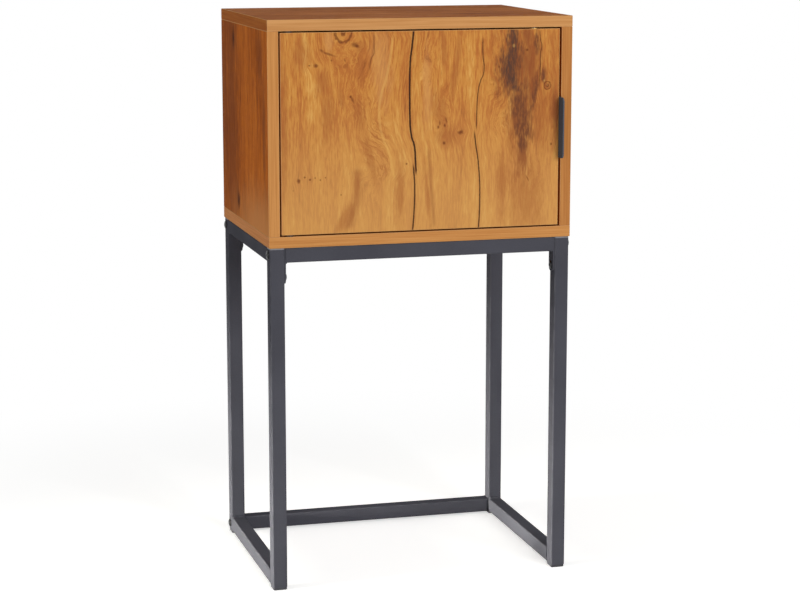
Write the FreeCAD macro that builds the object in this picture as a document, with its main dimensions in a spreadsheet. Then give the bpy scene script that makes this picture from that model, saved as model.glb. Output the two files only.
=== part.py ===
import FreeCAD, Part
import os
import re
import Sketcher
from FreeCAD import Rotation, Vector

# Console table with cabinet: a board box with one inset door on a bolted square-tube frame.
# Millimetres. +X right, +Y back, +Z up. The origin is on the floor, under the middle of the part's box.

# Driving sizes, one cell each in the sheet called sizes
SIZES = {
    # overall
    "width": 420.0,             # cabinet, side to side
    "depth": 310.0,             # cabinet, front to back
    "height": 770.0,            # floor to table top
    "frame_height": 470.0,      # floor to the underside of the cabinet
    # boards
    "board": 15.0,              # carcass board
    "door_board": 15.0,         # door board
    "back_board": 3.0,          # back panel
    "back_setback": 8.0,        # from the cabinet's back to the back panel
    "groove_depth": 5.0,        # groove that holds the back panel
    "groove_play": 0.2,
    "arris": 0.5,               # bevel of every board edge
    # gaps round the door
    "hinge_gap": 2.2,
    "pull_gap": 3.0,
    "top_gap": 2.0,
    "foot_gap": 2.0,
    # carcass fittings
    "fitting_setback": 60.0,    # cam bolt from the front and back edges
    "dowel_step": 35.0,         # dowel, further in than the cam bolt
    "dowel_radius": 4.0,
    "dowel_long": 30.0,
    "dowel_sink": 10.0,         # length of a dowel in the top or bottom panel
    "cam_radius": 7.5,
    "cam_deep": 12.5,
    "cam_reach": 24.0,          # cam axis from the end of the side panel
    "cam_shank_radius": 3.0,
    "cam_head_radius": 3.3,
    "cam_thread_radius": 2.5,
    "cam_thread_long": 10.0,
    "hole_play": 0.15,          # radial room round fasteners
    "hole_floor": 0.5,          # room past a fastener's tip
    # door pivots
    "pivot_inset": 12.0,        # pin axis from the door's hinge edge
    "pivot_setback": 6.0,       # pin axis behind the door's front face
    "pin_radius": 2.5,
    "pin_play": 0.05,           # running clearance in the door's bushes
    "pin_end_play": 1.0,
    "bush_radius": 4.0,
    "bush_long": 10.0,
    "bush_flange_radius": 5.5,
    "bush_slack": 0.2,          # between the two flanges of a pivot
    # ball catch
    "catch_inset": 35.0,        # catch axis from the door's pull edge
    "catch_setback": 6.5,       # catch axis behind the door's front face
    "ball_radius": 3.0,
    "ball_play": 0.05,
    "ball_lift": 1.0,           # height on the ball where the barrel's lip holds it
    "strike_play": 0.25,        # between the ball and the strike plate
    "barrel_radius": 4.5,
    "barrel_long": 14.0,
    "barrel_floor": 1.0,
    "rim_radius": 5.5,
    "rim_thick": 0.6,
    "spring_outer": 2.6,
    "spring_inner": 2.0,
    "strike_long": 22.0,
    "strike_deep": 10.0,
    "strike_thick": 1.2,
    "strike_screw_step": 7.5,
    "strike_screw_radius": 1.2,
    "strike_screw_long": 9.0,
    "strike_head_radius": 2.2,
    "strike_head_tall": 0.7,
    # door pull
    "pull_long": 82.0,
    "pull_reach": 17.0,         # in front of the door
    "pull_sheet": 1.8,
    "pull_flange": 20.0,        # on the back of the door
    "pull_corner": 6.0,         # rounding of the lip and of the flange
    "pull_bend": 1.5,
    "pull_screw_step": 25.0,    # screw from the middle of the pull
    "pull_screw_radius": 1.6,
    "pull_screw_long": 12.0,
    "pull_head_radius": 3.2,
    "pull_head_tall": 1.8,
    # frame
    "tube": 20.0,
    "tube_wall": 1.2,
    "tube_round": 2.2,          # outer corner radius of the tube
    "frame_inset": 1.0,         # frame inside the cabinet's outline
    "foot_tall": 4.0,
    "cap_tall": 2.0,
    "cap_play": 0.2,
    "plug_clear": 1.0,          # between a plug and the nearest bolt
    "foot_inset": 0.5,          # foot inside the tube's outline
    "plate": 2.0,               # end plate of a cross rail
    "plate_wide": 18.0,
    "tab_drop": 40.0,           # tab screw below the top of the frame
    "tab_end": 9.0,             # tab below its screw
    "tab_round": 8.0,
    # frame fasteners
    "bolt_radius": 3.0,
    "bolt_head_radius": 6.0,
    "bolt_head_tall": 2.4,
    "bolt_past_nut": 2.0,
    "nut_radius": 5.8,          # weld nut, across corners
    "nut_thick": 5.0,
    "tab_screw_radius": 2.5,
    "tab_screw_past_wall": 5.0,
    "tab_head_radius": 5.5,
    "tab_head_tall": 2.2,
    "cabinet_bolt_inset": 85.0,  # from the cabinet's side
    "access_play": 1.5,         # room round a bolt head in the rail's lower wall
    "insert_radius": 5.0,
    "insert_cover": 2.0,        # board left between an insert and the groove above it
    "socket_radius": 2.2,       # hexagon socket, across corners
    "socket_deep": 1.4,
}

# Levels and planes that the pieces share, as formulas of the sizes
FRONT = "(pull_reach - depth) / 2"
BACK = "(pull_reach + depth) / 2"
SIDE_TALL = "(height - frame_height - 2 * board)"
FLOOR = "(frame_height + board)"
CEILING = "(height - board)"
DOOR_LEFT = "(board + hinge_gap - width / 2)"
DOOR_RIGHT = "(width / 2 - board - pull_gap)"
DOOR_WIDE = "(width - 2 * board - hinge_gap - pull_gap)"
DOOR_LOW = f"({FLOOR} + foot_gap)"
DOOR_TALL = f"({SIDE_TALL} - foot_gap - top_gap)"
DOOR_BACK = f"({FRONT} + door_board)"
PIVOT_X = f"({DOOR_LEFT} + pivot_inset)"
PIVOT_Y = f"({FRONT} + pivot_setback)"
CATCH_X = f"({DOOR_RIGHT} - catch_inset)"
CATCH_Y = f"({FRONT} + catch_setback)"
BALL_Z = f"({CEILING} - strike_play - ball_radius)"
LEG_OUT = "(width / 2 - frame_inset)"
LEG_IN = "(width / 2 - frame_inset - tube)"
LEG_FRONT = f"({FRONT} + frame_inset)"
LEG_REAR = f"({BACK} - frame_inset - tube)"
RAIL_LOW = "(frame_height - tube)"
BOLT_HIGH = "(frame_height - tube / 2)"
BOLT_LOW = "(foot_tall + tube / 2)"
TAB_SCREW_Z = "(frame_height - tab_drop)"
CABINET_BOLT_X = "(width / 2 - cabinet_bolt_inset)"
INSERT_LONG = "(board - groove_depth - insert_cover)"

UP = Vector(0, 0, 1)
X_WAY = Vector(1, 0, 0)
Y_WAY = Vector(0, 1, 0)
TO_LEFT = Rotation(UP, Vector(-1, 0, 0))
TO_RIGHT = Rotation(UP, X_WAY)
TO_BACK = Rotation(UP, Y_WAY)
TO_FLOOR = Rotation(X_WAY, 180)
UPRIGHT = Rotation()
NEAR = 0.01                     # distance at which an edge counts as lying on a face
PARALLEL = 0.999                # cosine from which an edge counts as running along an axis

# profile of a domed head, in shares of its height and radius
HEAD_RIM_TALL = 0.3
HEAD_SHOULDER_TALL = 0.75
HEAD_SHOULDER_WIDE = 0.86
HEAD_CROWN_WIDE = 0.6

doc = FreeCAD.newDocument("console_table")
sheet = doc.addObject("Spreadsheet::Sheet", "sizes")
for row, (alias, number) in enumerate(SIZES.items(), start=1):
    sheet.set(f"A{row}", alias)
    sheet.set(f"B{row}", str(number))
    sheet.setAlias(f"B{row}", alias)
doc.recompute()

nodes = []


def formula(text):
    """Point every size named in the text at its cell."""
    return re.sub(r"[a-z_]+", lambda word: f"sizes.{word[0]}" if word[0] in SIZES else word[0], text)


def bind(item, setting, text):
    item.setExpression(setting, formula(text))


def place(item, x, y, z, turn=UPRIGHT):
    item.Placement = FreeCAD.Placement(Vector(), turn)
    bind(item, "Placement.Base.x", x)
    bind(item, "Placement.Base.y", y)
    bind(item, "Placement.Base.z", z)


def facing(axis, top):
    """The turn that brings a piece's own Z to axis and its own Y to top."""
    return Rotation(top.cross(axis), top, axis, "ZYX")


def node(item):
    nodes.append(item)
    return item


def new_body(label):
    return doc.addObject("PartDesign::Body", label)


def origin_plane(body, role):
    return next(item for item in body.Origin.OriginFeatures if item.Role == role)


def sketch(body, role, name, offset="0"):
    """A sketch on one of the body's own planes, shifted along that plane's normal."""
    drawing = body.newObject("Sketcher::SketchObject", f"{body.Name}_{name}")
    drawing.AttachmentSupport = [(origin_plane(body, role), "")]
    drawing.MapMode = "FlatFace"
    bind(drawing, "AttachmentOffset.Base.z", offset)
    return drawing


def hold(drawing, text, kind, *where):
    """Add a constraint whose value follows the sheet."""
    number = drawing.addConstraint(Sketcher.Constraint(kind, *where, 1.0))
    name = f"size_{number}"
    drawing.renameConstraint(number, name)
    bind(drawing, f"Constraints.{name}", text)


def polygon(drawing, corners):
    """A closed outline; each corner is a pair of formulas, measured from the sketch's origin."""
    first = drawing.GeometryCount
    count = len(corners)
    ring = [Rotation(UP, 360.0 * turn / count).multVec(X_WAY) for turn in range(count)]
    for index in range(count):
        drawing.addGeometry(Part.LineSegment(ring[index], ring[(index + 1) % count]), False)
    for index in range(count):
        after = first + (index + 1) % count
        drawing.addConstraint(Sketcher.Constraint("Coincident", first + index, 2, after, 1))
    for index, (across, up) in enumerate(corners):
        hold(drawing, across, "DistanceX", -1, 1, first + index, 1)
        hold(drawing, up, "DistanceY", -1, 1, first + index, 1)


def rectangle(drawing, left, low, right, high):
    polygon(drawing, [(left, low), (right, low), (right, high), (left, high)])


def circles(drawing, radius, centres):
    for across, up in centres:
        circle = drawing.addGeometry(Part.Circle(Vector(1, 1, 0), UP, 1.0), False)
        hold(drawing, radius, "Radius", circle)
        hold(drawing, across, "DistanceX", -1, 1, circle, 3)
        hold(drawing, up, "DistanceY", -1, 1, circle, 3)


def pad(body, drawing, length, reverse=False):
    feature = body.newObject("PartDesign::Pad", f"{drawing.Name}_pad")
    feature.Profile = drawing
    feature.Reversed = reverse
    bind(feature, "Length", length)
    return feature


def pocket(body, drawing, length, reverse=False):
    feature = body.newObject("PartDesign::Pocket", f"{drawing.Name}_cut")
    feature.Profile = drawing
    feature.Reversed = reverse
    bind(feature, "Length", length)
    return feature


def dress(body, kind, choose, name):
    """Fillet or bevel the edges of the body's newest feature that choose accepts."""
    doc.recompute()
    base = body.Tip
    picked = [f"Edge{number}" for number, edge in enumerate(base.Shape.Edges, start=1) if choose(edge)]
    feature = body.newObject(f"PartDesign::{kind}", f"{body.Name}_{name}")
    feature.Base = (base, picked)
    return feature


def soften(body, radius, choose, name):
    bind(dress(body, "Fillet", choose, name), "Radius", radius)


def bevel(body, size, choose, name):
    bind(dress(body, "Chamfer", choose, name), "Size", size)


def runs_along(edge, axis):
    if len(edge.Vertexes) != 2:
        return False
    span = edge.Vertexes[1].Point - edge.Vertexes[0].Point
    return abs(span.dot(axis)) > PARALLEL * span.Length


def any_edge(edge):
    return True


def block(label, wide, deep, tall):
    """A plain board or plate with its own origin at its lower front left corner."""
    body = new_body(label)
    outline = sketch(body, "XY_Plane", "outline")
    rectangle(outline, "0", "0", wide, deep)
    pad(body, outline, tall)
    return body


def lathe(label, outline):
    """A turned piece from its half outline: pairs of radius and height."""
    body = new_body(label)
    half = sketch(body, "XZ_Plane", "half")
    polygon(half, outline)
    turned = body.newObject("PartDesign::Revolution", f"{label}_turned")
    turned.Profile = half
    turned.ReferenceAxis = (half, ["V_Axis"])
    turned.Angle = 360
    return body


def round_head(label, shank_radius, shank_long, head_radius, head_tall, socket=True):
    """A screw or bolt with its tip at its own origin and a domed head at the far end."""
    top = f"({shank_long} + {head_tall})"
    body = lathe(label, [
        ("0", "0"),
        (shank_radius, "0"),
        (shank_radius, shank_long),
        (head_radius, shank_long),
        (head_radius, f"{shank_long} + {HEAD_RIM_TALL} * {head_tall}"),
        (f"{HEAD_SHOULDER_WIDE} * {head_radius}", f"{shank_long} + {HEAD_SHOULDER_TALL} * {head_tall}"),
        (f"{HEAD_CROWN_WIDE} * {head_radius}", top),
        ("0", top),
    ])
    if socket:
        recess = body.newObject("PartDesign::SubtractivePrism", f"{label}_socket")
        recess.Polygon = 6
        recess.AttachmentSupport = [(origin_plane(body, "XY_Plane"), "")]
        recess.MapMode = "FlatFace"
        bind(recess, "Circumradius", "socket_radius")
        bind(recess, "Height", "socket_deep")
        bind(recess, "AttachmentOffset.Base.z", f"{top} - socket_deep")
    return body


def copies(label, pieces):
    """One node of loose pieces: each entry is a piece, its place and its turn."""
    links = []
    for number, (piece, x, y, z, turn) in enumerate(pieces, start=1):
        link = doc.addObject("App::Link", f"{label}_{number}")
        link.LinkedObject = piece
        place(link, x, y, z, turn)
        links.append(link)
    group = doc.addObject("Part::Compound", label)
    group.Links = links
    return node(group)


# Carcass boards

CAM_ROWS = ["fitting_setback", "depth - fitting_setback"]
DOWEL_ROWS = ["fitting_setback + dowel_step", "depth - fitting_setback - dowel_step"]
GROOVE_FRONT = "depth - back_setback - back_board - groove_play"
GROOVE_BACK = "depth - back_setback + groove_play"


def flat_panel(label, z, inner_level, cut_up):
    """Top or bottom panel: fittings, groove and pivot bore on its inner face."""
    body = block(label, "width", "depth", "board")
    bevel(body, "arris", any_edge, "edges")
    groove = sketch(body, "XY_Plane", "groove", inner_level)
    rectangle(groove, "board - groove_depth", GROOVE_FRONT, "width - board + groove_depth", GROOVE_BACK)
    pocket(body, groove, "groove_depth", cut_up)
    sides = ["board / 2", "width - board / 2"]
    threads = sketch(body, "XY_Plane", "threads", inner_level)
    circles(threads, "cam_thread_radius + hole_play", [(x, y) for x in sides for y in CAM_ROWS])
    pocket(body, threads, "cam_thread_long + hole_floor", cut_up)
    dowels = sketch(body, "XY_Plane", "dowels", inner_level)
    circles(dowels, "dowel_radius + hole_play", [(x, y) for x in sides for y in DOWEL_ROWS])
    pocket(body, dowels, "dowel_sink + hole_floor", cut_up)
    pivot = sketch(body, "XY_Plane", "pivot", inner_level)
    circles(pivot, "bush_radius + hole_play", [("board + hinge_gap + pivot_inset", "pivot_setback")])
    pocket(body, pivot, "bush_long", cut_up)
    place(body, "-width / 2", FRONT, z)
    return node(body)


top_panel = flat_panel("top_panel", CEILING, "0", True)
recess = sketch(top_panel, "XY_Plane", "strike_recess")
strike_middle = "(width - board - pull_gap - catch_inset)"
rectangle(
    recess,
    f"{strike_middle} - strike_long / 2 - hole_play",
    "catch_setback - strike_deep / 2 - hole_play",
    f"{strike_middle} + strike_long / 2 + hole_play",
    "catch_setback + strike_deep / 2 + hole_play",
)
pocket(top_panel, recess, "strike_thick", True)
strike_pilots = sketch(top_panel, "XY_Plane", "strike_pilots")
circles(strike_pilots, "strike_screw_radius + hole_play", [
    (f"{strike_middle} - strike_screw_step", "catch_setback"),
    (f"{strike_middle} + strike_screw_step", "catch_setback"),
])
pocket(top_panel, strike_pilots, "strike_screw_long + hole_floor", True)

bottom_panel = flat_panel("bottom_panel", "frame_height", "board", False)
insert_holes = sketch(bottom_panel, "XY_Plane", "insert_holes")
cabinet_bolt_rows = ["frame_inset + tube / 2", "depth - frame_inset - tube / 2"]
circles(insert_holes, "insert_radius + hole_play", [
    (x, y) for x in ("cabinet_bolt_inset", "width - cabinet_bolt_inset") for y in cabinet_bolt_rows
])
pocket(bottom_panel, insert_holes, INSERT_LONG, True)


def side_panel(label, x, inner_level, cut_right):
    """Left or right side panel: cams and groove on its inner face, bolts and dowels in its ends."""
    body = block(label, "board", "depth", SIDE_TALL)
    bevel(body, "arris", any_edge, "edges")
    groove = sketch(body, "YZ_Plane", "groove", inner_level)
    rectangle(groove, GROOVE_FRONT, "0", GROOVE_BACK, SIDE_TALL)
    pocket(body, groove, "groove_depth", cut_right)
    cams = sketch(body, "YZ_Plane", "cams", inner_level)
    cam_levels = ["cam_reach", f"{SIDE_TALL} - cam_reach"]
    circles(cams, "cam_radius + hole_play", [(y, z) for y in CAM_ROWS for z in cam_levels])
    pocket(body, cams, "cam_deep", cut_right)
    for end, level, cut_up in (("lower", "0", True), ("upper", SIDE_TALL, False)):
        channels = sketch(body, "XY_Plane", f"{end}_channels", level)
        circles(channels, "cam_head_radius + hole_play", [("board / 2", y) for y in CAM_ROWS])
        pocket(body, channels, "cam_reach", cut_up)
        dowels = sketch(body, "XY_Plane", f"{end}_dowels", level)
        circles(dowels, "dowel_radius + hole_play", [("board / 2", y) for y in DOWEL_ROWS])
        pocket(body, dowels, "dowel_long - dowel_sink + hole_floor", cut_up)
    place(body, x, FRONT, FLOOR)
    return node(body)


side_panel("left_side_panel", "-width / 2", "board", False)
side_panel("right_side_panel", "width / 2 - board", "0", True)

BACK_TONGUE = "(groove_depth - groove_play)"
back_panel = block(
    "back_panel",
    f"width - 2 * board + 2 * {BACK_TONGUE}",
    "back_board",
    f"{SIDE_TALL} + 2 * {BACK_TONGUE}",
)
place(
    back_panel,
    f"board - {BACK_TONGUE} - width / 2",
    f"{BACK} - back_setback - back_board",
    f"{FLOOR} - {BACK_TONGUE}",
)
node(back_panel)

# Fittings that hold the carcass together

cam_lock = lathe("cam_lock", [
    ("0", "0"),
    ("cam_radius", "0"),
    ("cam_radius", "cam_deep"),
    ("0", "cam_deep"),
])
mouth = sketch(cam_lock, "XZ_Plane", "mouth", "cam_radius / 2")
circles(mouth, "cam_head_radius + hole_play", [("0", "cam_deep - board / 2")])
pocket(cam_lock, mouth, "2 * cam_radius")
SLOT_NARROW = "0.12 * cam_radius"
SLOT_LONG = "0.6 * cam_radius"
SLOT_DEEP = "cam_deep / 6"
for name, half_wide, half_long in (("slot", SLOT_NARROW, SLOT_LONG), ("cross_slot", SLOT_LONG, SLOT_NARROW)):
    slot = sketch(cam_lock, "XY_Plane", name, "cam_deep")
    rectangle(slot, f"-{half_wide}", f"-{half_long}", half_wide, half_long)
    pocket(cam_lock, slot, SLOT_DEEP)

NECK = "0.75 * cam_shank_radius"
SHANK_END = "(cam_reach + cam_shank_radius / 2)"
cam_bolt = lathe("cam_bolt", [
    ("0", "0"),
    ("cam_head_radius", "0"),
    ("cam_head_radius", "cam_shank_radius"),
    (NECK, "cam_shank_radius"),
    (NECK, "2 * cam_shank_radius"),
    ("cam_shank_radius", "2 * cam_shank_radius"),
    ("cam_shank_radius", SHANK_END),
    ("cam_thread_radius", SHANK_END),
    ("cam_thread_radius", f"{SHANK_END} + cam_thread_long"),
    ("0", f"{SHANK_END} + cam_thread_long"),
])

DOWEL_BEVEL = "0.25 * dowel_radius"
dowel = lathe("dowel", [
    ("0", "0"),
    (f"dowel_radius - {DOWEL_BEVEL}", "0"),
    ("dowel_radius", DOWEL_BEVEL),
    ("dowel_radius", f"dowel_long - {DOWEL_BEVEL}"),
    (f"dowel_radius - {DOWEL_BEVEL}", "dowel_long"),
    ("0", "dowel_long"),
])

cam_spots = []
bolt_spots = []
dowel_spots = []
for side, inward in (("-", X_WAY), ("", -X_WAY)):
    face = f"{side}(width / 2 - board + cam_deep)"
    middle = f"{side}(width / 2 - board / 2)"
    for row in CAM_ROWS:
        y = f"{FRONT} + {row}"
        cam_spots.append((cam_lock, face, y, f"{CEILING} - cam_reach", facing(inward, UP)))
        cam_spots.append((cam_lock, face, y, f"{FLOOR} + cam_reach", facing(inward, -UP)))
        bolt_spots.append((cam_bolt, middle, y, f"{CEILING} - {SHANK_END}", UPRIGHT))
        bolt_spots.append((cam_bolt, middle, y, f"{FLOOR} + {SHANK_END}", TO_FLOOR))
    for row in DOWEL_ROWS:
        y = f"{FRONT} + {row}"
        dowel_spots.append((dowel, middle, y, f"{CEILING} + dowel_sink - dowel_long", UPRIGHT))
        dowel_spots.append((dowel, middle, y, f"{FLOOR} - dowel_sink", UPRIGHT))
copies("cam_locks", cam_spots)
copies("cam_bolts", bolt_spots)
copies("wood_dowels", dowel_spots)

# Door, pivots and catch

door_panel = block("door_panel", DOOR_WIDE, "door_board", DOOR_TALL)
bevel(door_panel, "arris", any_edge, "edges")
for end, level, cut_up in (("lower", "0", True), ("upper", DOOR_TALL, False)):
    bore = sketch(door_panel, "XY_Plane", f"{end}_pivot", level)
    circles(bore, "bush_radius + hole_play", [("pivot_inset", "pivot_setback")])
    pocket(door_panel, bore, "bush_long + hole_floor", cut_up)
catch_bore = sketch(door_panel, "XY_Plane", "catch_bore", DOOR_TALL)
circles(catch_bore, "barrel_radius + hole_play", [(f"{DOOR_WIDE} - catch_inset", "catch_setback")])
pocket(door_panel, catch_bore, "barrel_long")
pull_levels = [f"{DOOR_TALL} / 2 - pull_screw_step", f"{DOOR_TALL} / 2 + pull_screw_step"]
pull_pilots = sketch(door_panel, "XZ_Plane", "pull_pilots", "-door_board")
pull_screw_x = f"{DOOR_WIDE} - pull_flange / 2"
circles(pull_pilots, "pull_screw_radius + hole_play", [(pull_screw_x, z) for z in pull_levels])
pocket(door_panel, pull_pilots, "pull_screw_long", True)
place(door_panel, DOOR_LEFT, FRONT, DOOR_LOW)
node(door_panel)


def bush(label, gap, bore):
    """Flanged sleeve: its flange takes half of the gap, less the slack between the two flanges."""
    flange = f"({gap} - bush_slack) / 2"
    return lathe(label, [
        (bore, "0"),
        ("bush_radius", "0"),
        ("bush_radius", "bush_long"),
        ("bush_flange_radius", "bush_long"),
        ("bush_flange_radius", f"bush_long + {flange}"),
        (bore, f"bush_long + {flange}"),
    ])


PIN_BEVEL = "0.3 * pin_radius"


def pivot_pin(label, gap):
    long = f"(2 * bush_long + {gap} - pin_end_play)"
    return lathe(label, [
        ("0", "0"),
        ("pin_radius", "0"),
        ("pin_radius", f"{long} - {PIN_BEVEL}"),
        (f"pin_radius - {PIN_BEVEL}", long),
        ("0", long),
    ])


door_top = f"({DOOR_LOW} + {DOOR_TALL})"
fixed_bore = "pin_radius + pin_play / 5"
running_bore = "pin_radius + pin_play"
lower_carcass_bush = bush("lower_carcass_bush", "foot_gap", fixed_bore)
upper_carcass_bush = bush("upper_carcass_bush", "top_gap", fixed_bore)
copies("carcass_pivot_bushes", [
    (lower_carcass_bush, PIVOT_X, PIVOT_Y, f"{FLOOR} - bush_long", UPRIGHT),
    (upper_carcass_bush, PIVOT_X, PIVOT_Y, f"{CEILING} + bush_long", TO_FLOOR),
])
copies("pivot_pins", [
    (pivot_pin("lower_pivot_pin", "foot_gap"), PIVOT_X, PIVOT_Y, f"{FLOOR} - bush_long", UPRIGHT),
    (pivot_pin("upper_pivot_pin", "top_gap"), PIVOT_X, PIVOT_Y, f"{CEILING} + bush_long", TO_FLOOR),
])
lower_door_bush = bush("lower_door_bush", "foot_gap", running_bore)
upper_door_bush = bush("upper_door_bush", "top_gap", running_bore)
copies("door_pivot_bushes", [
    (lower_door_bush, PIVOT_X, PIVOT_Y, f"{DOOR_LOW} + bush_long", TO_FLOOR),
    (upper_door_bush, PIVOT_X, PIVOT_Y, f"{door_top} - bush_long", UPRIGHT),
])

# Ball catch in the door's top edge; heights in the barrel start at its floor

ball_centre = "(barrel_long + top_gap - strike_play - ball_radius)"
lip_radius = "sqrt(ball_radius ^ 2 - ball_lift ^ 2) + ball_play"
lip_level = f"{ball_centre} + ball_lift"
rim_top = "barrel_long + rim_thick"
catch_barrel = lathe("catch_barrel", [
    ("0", "0"),
    ("barrel_radius", "0"),
    ("barrel_radius", "barrel_long"),
    ("rim_radius", "barrel_long"),
    ("rim_radius", rim_top),
    (lip_radius, rim_top),
    (lip_radius, lip_level),
    ("ball_radius + ball_play", lip_level),
    ("ball_radius + ball_play", "barrel_floor"),
    ("0", "barrel_floor"),
])
place(catch_barrel, CATCH_X, CATCH_Y, f"{door_top} - barrel_long")
node(catch_barrel)

catch_ball = node(doc.addObject("Part::Sphere", "catch_ball"))
bind(catch_ball, "Radius", "ball_radius")
place(catch_ball, CATCH_X, CATCH_Y, BALL_Z)

spring_top = f"{ball_centre} - barrel_floor - sqrt(ball_radius ^ 2 - spring_inner ^ 2) - ball_play"
catch_spring = lathe("catch_spring", [
    ("spring_inner", "0"),
    ("spring_outer", "0"),
    ("spring_outer", spring_top),
    ("spring_inner", spring_top),
])
place(catch_spring, CATCH_X, CATCH_Y, f"{door_top} - barrel_long + barrel_floor")
node(catch_spring)

catch_strike = block("catch_strike", "strike_long", "strike_deep", "strike_thick")
soften(catch_strike, "1.5 * strike_thick", lambda edge: runs_along(edge, UP), "corners")
dimple = sketch(catch_strike, "XY_Plane", "dimple")
circles(dimple, "0.8 * ball_radius", [("strike_long / 2", "strike_deep / 2")])
pocket(catch_strike, dimple, "strike_thick", True)
strike_spots = [
    ("strike_long / 2 - strike_screw_step", "strike_deep / 2"),
    ("strike_long / 2 + strike_screw_step", "strike_deep / 2"),
]
strike_holes = sketch(catch_strike, "XY_Plane", "screw_holes")
circles(strike_holes, "strike_screw_radius + hole_play", strike_spots)
pocket(catch_strike, strike_holes, "strike_thick", True)
strike_seats = sketch(catch_strike, "XY_Plane", "screw_seats")
circles(strike_seats, "strike_head_radius + hole_play", strike_spots)
pocket(catch_strike, strike_seats, "strike_head_tall", True)
place(catch_strike, f"{CATCH_X} - strike_long / 2", f"{CATCH_Y} - strike_deep / 2", CEILING)
node(catch_strike)

strike_screw = lathe("strike_screw", [
    ("0", "0"),
    ("strike_screw_radius", "0"),
    ("strike_screw_radius", "strike_screw_long - strike_head_tall"),
    ("strike_head_radius", "strike_screw_long - strike_head_tall"),
    ("strike_head_radius", "strike_screw_long"),
    ("0", "strike_screw_long"),
])
copies("catch_strike_screws", [
    (strike_screw, f"{CATCH_X} - strike_screw_step", CATCH_Y, f"{CEILING} + strike_screw_long", TO_FLOOR),
    (strike_screw, f"{CATCH_X} + strike_screw_step", CATCH_Y, f"{CEILING} + strike_screw_long", TO_FLOOR),
])

# Door pull: a bent strip that is screwed to the door's back and passes its edge through the gap

pull_back = "(pull_reach + door_board)"
door_pull = new_body("door_pull")
section = sketch(door_pull, "XY_Plane", "section")
polygon(section, [
    ("pull_flange", "0"),
    ("pull_flange + pull_sheet", "0"),
    ("pull_flange + pull_sheet", f"{pull_back} + pull_sheet"),
    ("0", f"{pull_back} + pull_sheet"),
    ("0", pull_back),
    ("pull_flange", pull_back),
])
pad(door_pull, section, "pull_long")
doc.recompute()
pull_box = door_pull.Shape.BoundBox


def is_pull_bend(edge):
    middle = edge.BoundBox.Center
    return runs_along(edge, UP) and middle.x > pull_box.XMax - NEAR and middle.y > pull_box.YMax - NEAR


def is_pull_corner(edge):
    middle = edge.BoundBox.Center
    on_lip = runs_along(edge, X_WAY) and middle.y < pull_box.YMin + NEAR
    on_flange = runs_along(edge, Y_WAY) and middle.x < pull_box.XMin + NEAR
    return on_lip or on_flange


soften(door_pull, "pull_bend", is_pull_bend, "bend")
soften(door_pull, "pull_corner", is_pull_corner, "corners")
pull_holes = sketch(door_pull, "XZ_Plane", "screw_holes", f"-{pull_back} - pull_sheet")
circles(pull_holes, "pull_screw_radius + hole_play", [
    ("pull_flange / 2", "pull_long / 2 - pull_screw_step"),
    ("pull_flange / 2", "pull_long / 2 + pull_screw_step"),
])
pocket(door_pull, pull_holes, "pull_sheet", True)
pull_low = f"{DOOR_LOW} + {DOOR_TALL} / 2 - pull_long / 2"
place(door_pull, f"{DOOR_RIGHT} - pull_flange", f"{FRONT} - pull_reach", pull_low)
node(door_pull)

pull_screw = round_head(
    "pull_screw", "pull_screw_radius", "pull_screw_long", "pull_head_radius", "pull_head_tall", socket=False
)
copies("door_pull_screws", [
    (
        pull_screw,
        f"{DOOR_RIGHT} - pull_flange / 2",
        f"{DOOR_BACK} + pull_sheet - pull_screw_long",
        f"{DOOR_LOW} + {z}",
        TO_BACK,
    )
    for z in pull_levels
])

# Frame tubes

TUBE_PLANES = {"X": "YZ_Plane", "Y": "XZ_Plane", "Z": "XY_Plane"}
TUBE_WAYS = {"X": X_WAY, "Y": Y_WAY, "Z": UP}


def tube(label, way, length):
    """A square tube with rounded corners along one axis, its own origin at its least corner."""
    body = new_body(label)
    section = sketch(body, TUBE_PLANES[way], "section")
    rectangle(section, "0", "0", "tube", "tube")
    rectangle(section, "tube_wall", "tube_wall", "tube - tube_wall", "tube - tube_wall")
    pad(body, section, length, way == "Y")
    doc.recompute()
    axis = TUBE_WAYS[way]
    centre = body.Shape.BoundBox.Center
    inner_corner = min((vertex.Point - centre).cross(axis).Length for vertex in body.Shape.Vertexes)

    def off_axis(edge):
        return (edge.BoundBox.Center - centre).cross(axis).Length

    def is_outer(edge):
        return runs_along(edge, axis) and off_axis(edge) > inner_corner + NEAR

    def is_inner(edge):
        return runs_along(edge, axis) and off_axis(edge) < inner_corner + NEAR

    soften(body, "tube_round", is_outer, "outer_corners")
    soften(body, "tube_round - tube_wall", is_inner, "inner_corners")
    return body


LEG_LONG = "(frame_height - foot_tall - cap_tall)"


def leg(label, x, y, tab_wall, bolt_levels):
    """A leg: bolt holes right through it, and the tab screw's hole in its inner wall."""
    body = tube(label, "Z", LEG_LONG)
    bolts = sketch(body, "YZ_Plane", "bolt_holes", "tube")
    bolt_centres = [("tube / 2", f"{level} - foot_tall") for level in bolt_levels]
    circles(bolts, "bolt_radius + hole_play", bolt_centres)
    pocket(body, bolts, "tube")
    screw = sketch(body, "YZ_Plane", "tab_hole", tab_wall)
    circles(screw, "tab_screw_radius + hole_play", [("tube / 2", f"{TAB_SCREW_Z} - foot_tall")])
    pocket(body, screw, "tube_wall")
    place(body, x, y, "foot_tall")
    return node(body)


leg("front_left_leg", f"-{LEG_OUT}", LEG_FRONT, "tube", [BOLT_HIGH])
leg("front_right_leg", LEG_IN, LEG_FRONT, "tube_wall", [BOLT_HIGH])
leg("rear_left_leg", f"-{LEG_OUT}", LEG_REAR, "tube", [BOLT_LOW, BOLT_HIGH])
leg("rear_right_leg", LEG_IN, LEG_REAR, "tube_wall", [BOLT_LOW, BOLT_HIGH])

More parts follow.
